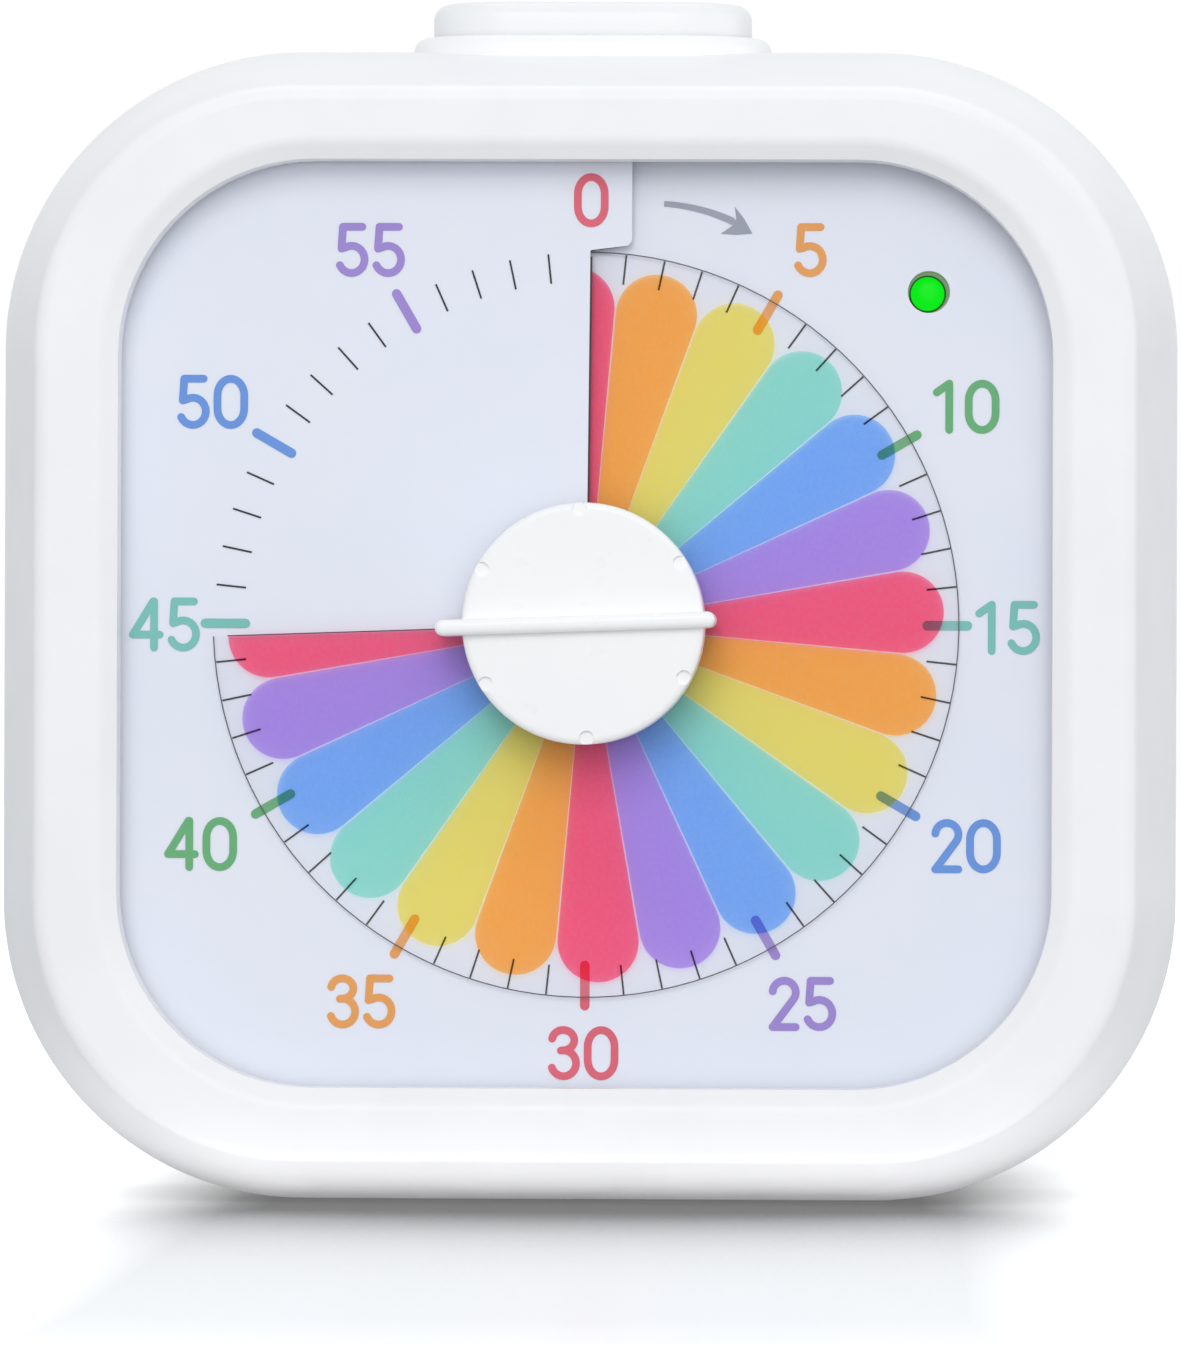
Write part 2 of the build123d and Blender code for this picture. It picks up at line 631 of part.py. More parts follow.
    # Volume switch: thumb recess, slot and board posts with stakes
    with BuildSketch(rearward(BODY_DEPTH - RECESS_DEPTH)):
        with Locations((-VOLUME_X, VOLUME_Z)):
            SlotOverall(
                THUMB_LENGTH + 2 * (VOLUME_TRAVEL + RECESS_MARGIN) + THUMB_WIDTH,
                THUMB_WIDTH + 2 * RECESS_MARGIN,
            )
    extrude(amount=RECESS_DEPTH, mode=Mode.SUBTRACT)
    with BuildSketch(rearward(REAR_INNER)):
        with Locations((-VOLUME_X, VOLUME_Z)):
            Rectangle(
                THUMB_LENGTH + 2 * (VOLUME_TRAVEL + VOLUME_CLEARANCE),
                THUMB_WIDTH + 2 * VOLUME_CLEARANCE,
            )
    extrude(amount=WALL, mode=Mode.SUBTRACT)
    volume_board_back = REAR_INNER - SWITCH_THICK - VOLUME_CLEARANCE
    with BuildSketch(facing(REAR_INNER + WALL / 2)):
        with Locations((VOLUME_X, VOLUME_Z)), GridLocations(VOLUME_POST_SPAN, 0, 2, 1):
            Circle(VOLUME_POST_RADIUS)
    extrude(amount=REAR_INNER + WALL / 2 - volume_board_back)
    with BuildSketch(facing(volume_board_back)):
        with Locations((VOLUME_X, VOLUME_Z)), GridLocations(VOLUME_POST_SPAN, 0, 2, 1):
            Circle(STAKE_RADIUS)
    extrude(amount=BOARD_THICK + STAKE_RADIUS)

save(rear_shell.part, "rear_shell")

with BuildPart() as case_screws:
    screws(
        CASE_SEAT_DEPTH,
        CASE_SCREWS,
        CASE_SCREW_RADIUS,
        CASE_SEAT_DEPTH - PARTING_DEPTH + CASE_SCREW_REACH,
        CASE_HEAD_RADIUS,
        CASE_HEAD_THICK,
    )

save(case_screws.part, "case_screws")

# ---------------------------------------------------------------- battery door and cells

with BuildPart() as battery_door:
    with BuildSketch(rearward(DOOR_FRONT)):
        with Locations((0, CELL_CENTRE_Z)):
            Rectangle(DOOR_LENGTH, DOOR_HEIGHT)
    extrude(amount=DOOR_THICK)
    hinge_edges = battery_door.edges().filter_by(Axis.X).group_by(Axis.Z)[0]
    fillet(hinge_edges, DOOR_HINGE_ROUND)
    chamfer(battery_door.faces().sort_by(Axis.Y)[-1].edges().group_by(Axis.Z)[-1], DOOR_CHAMFER)
    with BuildSketch(Plane.YZ.offset(-DOOR_LENGTH / 2 - DOOR_PIN_LENGTH)):
        with Locations((DOOR_FRONT + DOOR_THICK / 2 - MID_DEPTH, DIAL_Z + HINGE_Z)):
            Circle(DOOR_PIN_RADIUS)
    extrude(amount=DOOR_LENGTH + 2 * DOOR_PIN_LENGTH)
    with BuildSketch(rearward(DOOR_BACK)):
        with Locations((0, CELL_CENTRE_Z + DOOR_HEIGHT / 2 - DOOR_GRIP_COUNT * DOOR_GRIP_PITCH / 2)):
            with GridLocations(0, DOOR_GRIP_PITCH, 1, DOOR_GRIP_COUNT):
                SlotOverall(DOOR_GRIP_LENGTH, DOOR_GRIP_WIDTH)
    extrude(amount=-DOOR_GRIP_DEPTH, mode=Mode.SUBTRACT)

save(battery_door.part, "battery_door")


def each_cell():
    """Height from the dial's middle and the way the plus end points, for both cells."""
    return ((CELL_CENTRE_Z + CELL_SPACING / 2, 1), (CELL_CENTRE_Z - CELL_SPACING / 2, -1))


contact_face = BAY_LENGTH / 2 - CONTACT_THICK

with BuildPart() as battery_cells:
    for height, way in each_cell():
        end = Plane(
            (way * contact_face, CELL_DEPTH - MID_DEPTH, DIAL_Z + height), z_dir=(-way, 0, 0)
        )
        with BuildSketch(end):
            Circle(CELL_NUB_RADIUS)
        extrude(amount=CELL_NUB)
        with BuildSketch(end.offset(CELL_NUB)):
            Circle(CELL_RADIUS)
        extrude(amount=CELL_LENGTH - CELL_NUB)

save(battery_cells.part, "battery_cells")

with BuildPart() as battery_contacts:
    for side in (-1, 1):
        with BuildSketch(Plane.YZ.offset(side * BAY_LENGTH / 2)):
            with Locations((CELL_DEPTH - MID_DEPTH, DIAL_Z + CELL_CENTRE_Z)):
                with GridLocations(0, CELL_SPACING, 1, 2):
                    Rectangle(CONTACT_SIZE, CONTACT_SIZE)
        extrude(amount=-side * CONTACT_THICK)

save(battery_contacts.part, "battery_contacts")

with BuildPart() as battery_springs:
    for height, way in each_cell():
        rise = SPRING_LENGTH - 2 * SPRING_WIRE_RADIUS
        foot = Plane(
            (-way * (contact_face - SPRING_WIRE_RADIUS), CELL_DEPTH - MID_DEPTH, DIAL_Z + height),
            z_dir=(way, 0, 0),
        )
        coil = foot.from_local_coords(Edge.make_helix(rise / SPRING_TURNS, rise, SPRING_RADIUS))
        with BuildSketch(Plane(coil @ 0, z_dir=coil % 0)) as wire:
            Circle(SPRING_WIRE_RADIUS)
        sweep(wire.sketch, path=coil, is_frenet=True)

save(battery_springs.part, "battery_springs")

# ---------------------------------------------------------------- buzzer and volume switch

with BuildPart() as buzzer_disc:
    with BuildSketch(facing(REAR_INNER - BUZZER_SEAT)):
        with Locations((BUZZER_X, BUZZER_Z)):
            Circle(BUZZER_RADIUS)
    extrude(amount=BUZZER_THICK)
    with BuildSketch(facing(REAR_INNER - BUZZER_SEAT - BUZZER_THICK)):
        with Locations((BUZZER_X, BUZZER_Z)):
            Circle(CERAMIC_RADIUS)
    extrude(amount=CERAMIC_THICK)

save(buzzer_disc.part, "buzzer_disc")

with BuildPart() as volume_board:
    with BuildSketch(facing(volume_board_back)):
        with Locations((VOLUME_X, VOLUME_Z)):
            Rectangle(VOLUME_BOARD_LENGTH, VOLUME_BOARD_WIDTH)
            with GridLocations(VOLUME_POST_SPAN, 0, 2, 1):
                Circle(STAKE_RADIUS + STAKE_CLEARANCE, mode=Mode.SUBTRACT)
    extrude(amount=BOARD_THICK)

save(volume_board.part, "volume_board")

switch_back = volume_board_back + SWITCH_THICK - STEM_SEAT / 2

with BuildPart() as volume_switch_body:
    with BuildSketch(rearward(volume_board_back)):
        with Locations((-VOLUME_X, VOLUME_Z)):
            Rectangle(SWITCH_LENGTH, SWITCH_WIDTH)
    extrude(amount=switch_back - volume_board_back)
    with BuildSketch(rearward(switch_back - STEM_SEAT)):
        with Locations((-VOLUME_X, VOLUME_Z)):
            Rectangle(
                STEM_WIDTH + 2 * (VOLUME_TRAVEL + VOLUME_CLEARANCE),
                STEM_WIDTH + 2 * VOLUME_CLEARANCE,
            )
    extrude(amount=STEM_SEAT, mode=Mode.SUBTRACT)

save(volume_switch_body.part, "volume_switch_body")

with BuildPart() as volume_slider:
    with BuildSketch(rearward(switch_back - STEM_SEAT + VOLUME_CLEARANCE)):
        with Locations((-VOLUME_X, VOLUME_Z)):
            Rectangle(STEM_WIDTH, STEM_WIDTH)
    extrude(amount=REAR_INNER - switch_back + STEM_SEAT - VOLUME_CLEARANCE)
    with BuildSketch(rearward(REAR_INNER)):
        with Locations((-VOLUME_X, VOLUME_Z)):
            Rectangle(THUMB_LENGTH, THUMB_WIDTH)
    extrude(amount=WALL - THUMB_SINK)
    with BuildSketch(rearward(BODY_DEPTH - THUMB_SINK)):
        with Locations((-VOLUME_X, VOLUME_Z)):
            with GridLocations(THUMB_GROOVE_PITCH, 0, THUMB_GROOVE_COUNT, 1):
                Rectangle(THUMB_GROOVE, THUMB_WIDTH)
    extrude(amount=-THUMB_GROOVE, mode=Mode.SUBTRACT)

save(volume_slider.part, "volume_slider")

# ---------------------------------------------------------------- dial plate

with BuildPart() as dial_plate:
    # Spiral rim that backs the card outside the film's pocket
    for start in (0, 180):
        half = spiral_sheet(
            POCKET_RADIUS, CARD_WIDTH, CARD_DEPTH + CARD_THICK, start, start + 180
        )
        extrude(half, amount=PLATE_BACK, dir=(0, 1, 0))
    with BuildSketch(facing(POCKET_DEPTH)):
        card_outline()
    extrude(amount=POCKET_DEPTH, mode=Mode.INTERSECT)

    # Plate that fits the front shell's cavity
    with BuildSketch(facing(PLATE_BACK)):
        outline(front_inset(POCKET_DEPTH) + WALL + PLATE_CLEARANCE)
    extrude(amount=PLATE_THICK)

    # Posts for the main board
    with BuildSketch(facing(BOARD_DEPTH)):
        with BOARD_POSTS:
            Circle(BOARD_POST_RADIUS)
    extrude(amount=BOARD_STANDOFF)

    # Blind holes from behind, then the holes that go through
    with BuildSketch(facing(BOARD_DEPTH)):
        with BOARD_POSTS:
            Circle(SMALL_SCREW_RADIUS)
        with MOVEMENT_SCREWS:
            Circle(SMALL_SCREW_RADIUS)
    extrude(amount=BOARD_DEPTH - POCKET_DEPTH - PLATE_SKIN, mode=Mode.SUBTRACT)
    with BuildSketch(facing(PLATE_BACK)):
        Circle(ARBOR_RADIUS + SCREW_CLEARANCE)
        with PLATE_SCREWS:
            Circle(SMALL_SCREW_RADIUS + SCREW_CLEARANCE)
        with Locations((LAMP_X, LAMP_Z)):
            Circle(LAMP_RADIUS + LAMP_CLEARANCE)
    extrude(amount=PLATE_BACK, mode=Mode.SUBTRACT)

save(dial_plate.part, "dial_plate")

with BuildPart() as dial_plate_screws:
    screws(
        PLATE_BACK,
        PLATE_SCREWS,
        SMALL_SCREW_RADIUS,
        PLATE_BACK - WALL - SCREW_END_GAP,
        SMALL_HEAD_RADIUS,
        SMALL_HEAD_THICK,
    )

save(dial_plate_screws.part, "dial_plate_screws")

# ---------------------------------------------------------------- dial card and film

with BuildPart() as dial_card:
    # Tab that laps over the start of the card above the slit
    extrude(
        spiral_sheet(
            TAB_RADIUS - 2 * TAB_CORNER, CARD_WIDTH, CARD_DEPTH, 360, 360 + 3 * CARD_LAP
        ),
        amount=CARD_THICK,
        dir=(0, 1, 0),
    )
    with BuildSketch(facing(POCKET_DEPTH)):
        inset = TAB_CORNER * (1 - math.sqrt(0.5))
        with BuildLine():
            ThreePointArc(
                (0, TAB_RADIUS - TAB_CORNER),
                (inset, TAB_RADIUS - inset),
                (TAB_CORNER, TAB_RADIUS),
            )
            Polyline(
                (TAB_CORNER, TAB_RADIUS),
                (TAB_WIDTH, TAB_RADIUS + TAB_RISE),
                (TAB_WIDTH, CARD_HEIGHT),
                (0, CARD_HEIGHT),
                (0, TAB_RADIUS - TAB_CORNER),
            )
        tab = make_face()
        fillet(tab.vertices().group_by(Axis.X)[-1].sort_by(Axis.Y)[0], TAB_ROUND)
    extrude(amount=POCKET_DEPTH, mode=Mode.INTERSECT)

    # One full turn, with a lap behind the slit
    extrude(
        spiral_sheet(CARD_BORE, CARD_WIDTH, CARD_DEPTH, 0, 360 + SLIT_ANGLE),
        amount=CARD_THICK,
        dir=(0, 1, 0),
    )
    extrude(
        spiral_sheet(CARD_BORE, TAB_RADIUS, CARD_DEPTH, -CARD_LAP, 0),
        amount=CARD_THICK,
        dir=(0, 1, 0),
    )
    with BuildSketch(facing(POCKET_DEPTH)):
        card_outline()
        with Locations((LAMP_X, LAMP_Z)):
            Circle(LAMP_RADIUS + LAMP_CLEARANCE, mode=Mode.SUBTRACT)
    extrude(amount=POCKET_DEPTH, mode=Mode.INTERSECT)

save(dial_card.part, "dial_card")

with BuildPart() as film_disc:
    extrude(
        spiral_sheet(HUB_RADIUS / 2, FILM_RADIUS, FILM_DEPTH, SET_ANGLE - 360, SET_ANGLE),
        amount=FILM_THICK,
        dir=(0, 1, 0),
    )
    with BuildSketch(facing(POCKET_DEPTH)):
        splines(SPLINE_CLEARANCE)
    extrude(amount=POCKET_DEPTH, mode=Mode.SUBTRACT)

save(film_disc.part, "film_disc")

# ---------------------------------------------------------------- knob, hub and arbor

pointer_turn = 90 - SET_ANGLE

with BuildPart() as setting_knob:
    with BuildSketch(facing(KNOB_BACK)):
        Circle(KNOB_RADIUS)
    extrude(amount=KNOB_BACK + KNOB_FACE_REACH)
    fillet(setting_knob.faces().sort_by(Axis.Y)[0].edges(), KNOB_EDGE_ROUND)

    # Finger notches round the rim, then the raised pointer bar
    with BuildSketch(facing(-KNOB_FACE_REACH, pointer_turn + 90)):
        with PolarLocations(KNOB_RADIUS - KNOB_EDGE_ROUND, NOTCH_COUNT):
            Circle(NOTCH_RADIUS)
    extrude(amount=-NOTCH_DEPTH, mode=Mode.SUBTRACT)
    with BuildSketch(facing(KNOB_BACK, pointer_turn)):
        with Locations(((KNOB_BAR_POINTER - KNOB_BAR_TAIL) / 2, 0)):
            SlotOverall(KNOB_BAR_POINTER + KNOB_BAR_TAIL, KNOB_BAR_WIDTH)
    extrude(amount=KNOB_BACK + KNOB_REACH)
    fillet(setting_knob.faces().sort_by(Axis.Y)[0].edges(), KNOB_BAR_ROUND)

    # Hollow from behind, leaving the boss that grips the arbor
    with BuildSketch(facing(KNOB_BACK)):
        Circle(KNOB_RADIUS - KNOB_SKIN)
        Circle(KNOB_BOSS_RADIUS, mode=Mode.SUBTRACT)
    extrude(amount=KNOB_BACK + KNOB_FACE_REACH - KNOB_SKIN, mode=Mode.SUBTRACT)
    with BuildSketch(facing(KNOB_BACK)):
        Circle(ARBOR_RADIUS)
    extrude(amount=ARBOR_KNOB_DEPTH, mode=Mode.SUBTRACT)

save(setting_knob.part, "setting_knob")

with BuildPart() as drive_hub:
    with BuildSketch(facing(HUB_BACK)):
        splines()
        Circle(ARBOR_RADIUS, mode=Mode.SUBTRACT)
    extrude(amount=HUB_BACK - KNOB_BACK)

save(drive_hub.part, "drive_hub")

with BuildPart() as drive_arbor:
    with BuildSketch(facing(CENTRE_WHEEL_DEPTH + CENTRE_WHEEL_THICK)):
        Circle(ARBOR_RADIUS)
    extrude(amount=CENTRE_WHEEL_DEPTH + CENTRE_WHEEL_THICK - KNOB_BACK + ARBOR_KNOB_DEPTH)
    with BuildSketch(facing(MOVEMENT_INNER_BACK + PIVOT_SEAT)):
        Circle(ARBOR_PIVOT_RADIUS)
    extrude(amount=MOVEMENT_INNER_BACK + PIVOT_SEAT - CENTRE_WHEEL_DEPTH)

save(drive_arbor.part, "drive_arbor")

# ---------------------------------------------------------------- movement


def movement_outline(wall=0.0):
    """Outline of the movement case, drawn in by the wall."""
    width = MOVEMENT_WIDTH - 2 * wall
    RectangleRounded(width, width, MOVEMENT_CORNER - wall)


with BuildPart() as movement_case_front:
    with BuildSketch(facing(MOVEMENT_MIDDLE)):
        movement_outline()
    extrude(amount=MOVEMENT_SPLIT)
    with BuildSketch(facing(MOVEMENT_MIDDLE)):
        movement_outline(MOVEMENT_WALL)
    extrude(amount=MOVEMENT_MIDDLE - MOVEMENT_INNER_FRONT, mode=Mode.SUBTRACT)
    with BuildSketch(facing(MOVEMENT_MIDDLE)):
        with MOVEMENT_SCREWS:
            Circle(MOVEMENT_BOSS_RADIUS)
    extrude(amount=MOVEMENT_SPLIT)

    # Rests for the stator
    with BuildSketch(facing(STATOR_DEPTH)):
        with Locations(STATOR_AT), GridLocations(STATOR_LENGTH - 2 * REST_RADIUS, 0, 2, 1):
            with Locations((0, REST_RADIUS - STATOR_HEIGHT / 2)):
                Circle(REST_RADIUS)
    extrude(amount=STATOR_DEPTH - MOVEMENT_INNER_FRONT)

    # Holes: bearing, screws and pivots
    with BuildSketch(facing(MOVEMENT_MIDDLE)):
        Circle(ARBOR_RADIUS + RUNNING_CLEARANCE)
        with MOVEMENT_SCREWS:
            Circle(SMALL_SCREW_RADIUS + SCREW_CLEARANCE)
    extrude(amount=MOVEMENT_SPLIT, mode=Mode.SUBTRACT)
    with BuildSketch(facing(MOVEMENT_INNER_FRONT)):
        with Locations(IDLER_AT):
            Circle(IDLER_PIN_RADIUS)
        with Locations(ROTOR_AT):
            Circle(ROTOR_SHAFT_RADIUS + RUNNING_CLEARANCE)
    extrude(amount=PIVOT_SEAT + RUNNING_CLEARANCE, mode=Mode.SUBTRACT)

save(movement_case_front.part, "movement_case_front")

with BuildPart() as movement_case_rear:
    with BuildSketch(rearward(MOVEMENT_MIDDLE)):
        movement_outline()
    extrude(amount=MOVEMENT_BACK - MOVEMENT_MIDDLE)
    with BuildSketch(rearward(MOVEMENT_MIDDLE)):
        movement_outline(MOVEMENT_WALL)
    extrude(amount=MOVEMENT_INNER_BACK - MOVEMENT_MIDDLE, mode=Mode.SUBTRACT)
    with BuildSketch(rearward(MOVEMENT_MIDDLE)):
        with MOVEMENT_SCREWS:
            Circle(MOVEMENT_BOSS_RADIUS)
    extrude(amount=MOVEMENT_BACK - MOVEMENT_MIDDLE)
    with BuildSketch(rearward(MOVEMENT_MIDDLE)):
        with MOVEMENT_SCREWS:
            Circle(SMALL_SCREW_RADIUS + SCREW_CLEARANCE)
    extrude(amount=MOVEMENT_BACK - MOVEMENT_MIDDLE, mode=Mode.SUBTRACT)
    with BuildSketch(facing(MOVEMENT_INNER_BACK + PIVOT_SEAT + RUNNING_CLEARANCE)):
        Circle(ARBOR_PIVOT_RADIUS + RUNNING_CLEARANCE)
        with Locations(IDLER_AT):
            Circle(IDLER_PIN_RADIUS)
        with Locations(ROTOR_AT):
            Circle(ROTOR_SHAFT_RADIUS + RUNNING_CLEARANCE)
    extrude(amount=PIVOT_SEAT + RUNNING_CLEARANCE, mode=Mode.SUBTRACT)

save(movement_case_rear.part, "movement_case_rear")

with BuildPart() as movement_screws:
    screws(
        MOVEMENT_BACK,
        MOVEMENT_SCREWS,
        SMALL_SCREW_RADIUS,
        MOVEMENT_THICK + PLATE_THICK - PLATE_SKIN - SCREW_CLEARANCE,
        SMALL_HEAD_RADIUS,
        SMALL_HEAD_THICK,
    )

save(movement_screws.part, "movement_screws")

with BuildPart() as centre_wheel:
    with BuildSketch(facing(CENTRE_WHEEL_DEPTH + CENTRE_WHEEL_THICK)):
        gear(CENTRE_TEETH, CENTRE_MODULE, IDLER_DIRECTION)
        Circle(ARBOR_RADIUS, mode=Mode.SUBTRACT)
        with PolarLocations(WHEEL_HOLE_RING, WHEEL_HOLE_COUNT):
            Circle(WHEEL_HOLE_RADIUS, mode=Mode.SUBTRACT)
    extrude(amount=CENTRE_WHEEL_THICK)

save(centre_wheel.part, "centre_wheel")

idler_pinion_turn = IDLER_DIRECTION + 180 + 180 / IDLER_PINION_TEETH
idler_back = CENTRE_WHEEL_DEPTH + CENTRE_WHEEL_THICK + PINION_OVERHANG

with BuildPart() as idler_wheel:
    with BuildSketch(facing(idler_back)):
        with Locations(IDLER_AT):
            gear(IDLER_PINION_TEETH, CENTRE_MODULE, idler_pinion_turn)
    extrude(amount=idler_back - IDLER_WHEEL_DEPTH)
    with BuildSketch(facing(IDLER_WHEEL_DEPTH + IDLER_WHEEL_THICK)):
        with Locations(IDLER_AT):
            gear(IDLER_TEETH, ROTOR_MODULE, ROTOR_DIRECTION)
    extrude(amount=IDLER_WHEEL_THICK)
    with BuildSketch(facing(idler_back)):
        with Locations(IDLER_AT):
            Circle(IDLER_PIN_RADIUS + RUNNING_CLEARANCE)
    extrude(amount=idler_back, mode=Mode.SUBTRACT)

save(idler_wheel.part, "idler_wheel")

with BuildPart() as idler_pin:
    with BuildSketch(facing(MOVEMENT_INNER_BACK + PIVOT_SEAT)):
        with Locations(IDLER_AT):
            Circle(IDLER_PIN_RADIUS)
    extrude(amount=MOVEMENT_INNER_BACK - MOVEMENT_INNER_FRONT + 2 * PIVOT_SEAT)

save(idler_pin.part, "idler_pin")

rotor_pinion_turn = ROTOR_DIRECTION + 180 + 180 / ROTOR_TEETH

with BuildPart() as rotor_pinion:
    with BuildSketch(facing(IDLER_WHEEL_DEPTH + IDLER_WHEEL_THICK + PINION_OVERHANG)):
        with Locations(ROTOR_AT):
            gear(ROTOR_TEETH, ROTOR_MODULE, rotor_pinion_turn)
    extrude(amount=IDLER_WHEEL_THICK + 2 * PINION_OVERHANG)
    with BuildSketch(facing(MOVEMENT_INNER_BACK + PIVOT_SEAT)):
        with Locations(ROTOR_AT):
            Circle(ROTOR_SHAFT_RADIUS)
    extrude(amount=MOVEMENT_INNER_BACK - MOVEMENT_INNER_FRONT + 2 * PIVOT_SEAT)

save(rotor_pinion.part, "rotor_pinion")

with BuildPart() as rotor_magnet:
    with BuildSketch(facing(MAGNET_BACK)):
        with Locations(ROTOR_AT):
            Circle(MAGNET_RADIUS)
            Circle(ROTOR_SHAFT_RADIUS, mode=Mode.SUBTRACT)
    extrude(amount=MAGNET_THICK)

save(rotor_magnet.part, "rotor_magnet")

coil_middle = STATOR_DEPTH + STATOR_THICK / 2
coil_plane = Plane(
    facing(coil_middle).from_local_coords(COIL_AT), x_dir=(0, 1, 0), z_dir=(1, 0, 0)
)
tube_height = STATOR_LEG + 2 * (COIL_CLEARANCE + COIL_TUBE)
tube_depth = STATOR_THICK + 2 * (COIL_CLEARANCE + COIL_TUBE)

with BuildPart() as stator:
    with BuildSketch(facing(STATOR_DEPTH + STATOR_THICK)):
        with Locations(STATOR_AT):
            Rectangle(STATOR_LENGTH, STATOR_HEIGHT)
        with Locations(COIL_AT - Vector(0, STATOR_HEIGHT / 2 - STATOR_LEG / 2)):
            Rectangle(
                COIL_LENGTH + 2 * COIL_CLEARANCE,
                STATOR_HEIGHT - 2 * STATOR_LEG,
                mode=Mode.SUBTRACT,
            )
        with Locations(ROTOR_AT):
            Circle(MAGNET_RADIUS + STATOR_GAP, mode=Mode.SUBTRACT)
    extrude(amount=STATOR_THICK)

save(stator.part, "stator")

with BuildPart() as coil_bobbin:
    with BuildSketch(coil_plane.offset(-COIL_LENGTH / 2)):
        Rectangle(COIL_DEPTH, COIL_HEIGHT)
    extrude(amount=COIL_LENGTH)
    with BuildSketch(coil_plane.offset(COIL_FLANGE - COIL_LENGTH / 2)):
        Rectangle(2 * COIL_DEPTH, 2 * COIL_HEIGHT)
        Rectangle(tube_depth, tube_height, mode=Mode.SUBTRACT)
    extrude(amount=COIL_LENGTH - 2 * COIL_FLANGE, mode=Mode.SUBTRACT)
    with BuildSketch(coil_plane.offset(-COIL_LENGTH / 2)):
        Rectangle(STATOR_THICK + 2 * COIL_CLEARANCE, STATOR_LEG + 2 * COIL_CLEARANCE)
    extrude(amount=COIL_LENGTH, mode=Mode.SUBTRACT)

save(coil_bobbin.part, "coil_bobbin")

with BuildPart() as coil_winding:
    with BuildSketch(coil_plane.offset(COIL_FLANGE - COIL_LENGTH / 2)):
        RectangleRounded(
            COIL_DEPTH - 2 * WINDING_INSET, COIL_HEIGHT - 2 * WINDING_INSET, 2 * WINDING_INSET
        )
        Rectangle(tube_depth, tube_height, mode=Mode.SUBTRACT)
    extrude(amount=COIL_LENGTH - 2 * COIL_FLANGE)

save(coil_winding.part, "coil_winding")

# ---------------------------------------------------------------- main board, lamp, switch

lamp_tip = CARD_DEPTH + CARD_THICK + LAMP_RECESS

with BuildPart() as main_board:
    with BuildSketch(facing(BOARD_BACK)):
        with Locations((BOARD_RIGHT, BOARD_TOP)):
            Rectangle(
                BOARD_RIGHT - BOARD_LEFT, BOARD_TOP - BOARD_EDGE, align=(Align.MAX, Align.MAX)
            )
            Rectangle(
                BOARD_RIGHT - BOARD_EDGE,
                BOARD_TOP - LAMP_Z + BOARD_BELOW_LAMP,
                align=(Align.MAX, Align.MAX),
            )
        with BOARD_POSTS:
            Circle(SMALL_SCREW_RADIUS + SCREW_CLEARANCE, mode=Mode.SUBTRACT)
        with Locations((LAMP_X, LAMP_Z)), GridLocations(LEAD_PITCH, 0, 2, 1):
            Circle(LEAD_WIDTH, mode=Mode.SUBTRACT)
    extrude(amount=BOARD_THICK)

save(main_board.part, "main_board")

with BuildPart() as main_board_screws:
    screws(
        BOARD_BACK,
        BOARD_POSTS,
        SMALL_SCREW_RADIUS,
        BOARD_THICK + BOARD_STANDOFF,
        SMALL_HEAD_RADIUS,
        SMALL_HEAD_THICK,
    )

save(main_board_screws.part, "main_board_screws")

with BuildPart() as lamp:
    with BuildSketch(facing(BOARD_DEPTH)):
        with Locations((LAMP_X, LAMP_Z)):
            Circle(LAMP_RADIUS)
    extrude(amount=BOARD_DEPTH - lamp_tip)
    fillet(lamp.faces().sort_by(Axis.Y)[0].edges(), LAMP_ROUND)
    with BuildSketch(facing(BOARD_DEPTH)):
        with Locations((LAMP_X, LAMP_Z)):
            Circle(LAMP_FLANGE_RADIUS)
    extrude(amount=LAMP_FLANGE_THICK)
    with BuildSketch(facing(BOARD_BACK + LEAD_STUB)):
        with Locations((LAMP_X, LAMP_Z)), GridLocations(LEAD_PITCH, 0, 2, 1):
            Rectangle(LEAD_WIDTH, LEAD_WIDTH)
    extrude(amount=BOARD_THICK + LEAD_STUB)

save(lamp.part, "lamp")

with BuildPart() as tact_switch_body:
    with BuildSketch(level(TACT_TOP)):
        Rectangle(TACT_WIDTH, TACT_DEPTH)
        Circle(TACT_PLUNGER_RADIUS + TACT_GAP, mode=Mode.SUBTRACT)
    extrude(amount=-TACT_HEIGHT)
    with BuildSketch(level(TACT_TOP - TACT_HEIGHT)):
        Rectangle(TACT_WIDTH, TACT_DEPTH)
    extrude(amount=TACT_HEIGHT - TACT_SEAT)

save(tact_switch_body.part, "tact_switch_body")

with BuildPart() as tact_plunger:
    with BuildSketch(level(PLUNGER_TOP)):
        Circle(TACT_PLUNGER_RADIUS)
    extrude(amount=TACT_HEIGHT - TACT_SEAT - BUTTON_TRAVEL - TACT_GAP, dir=(0, 0, -1))

save(tact_plunger.part, "tact_plunger")

# ---------------------------------------------------------------- button

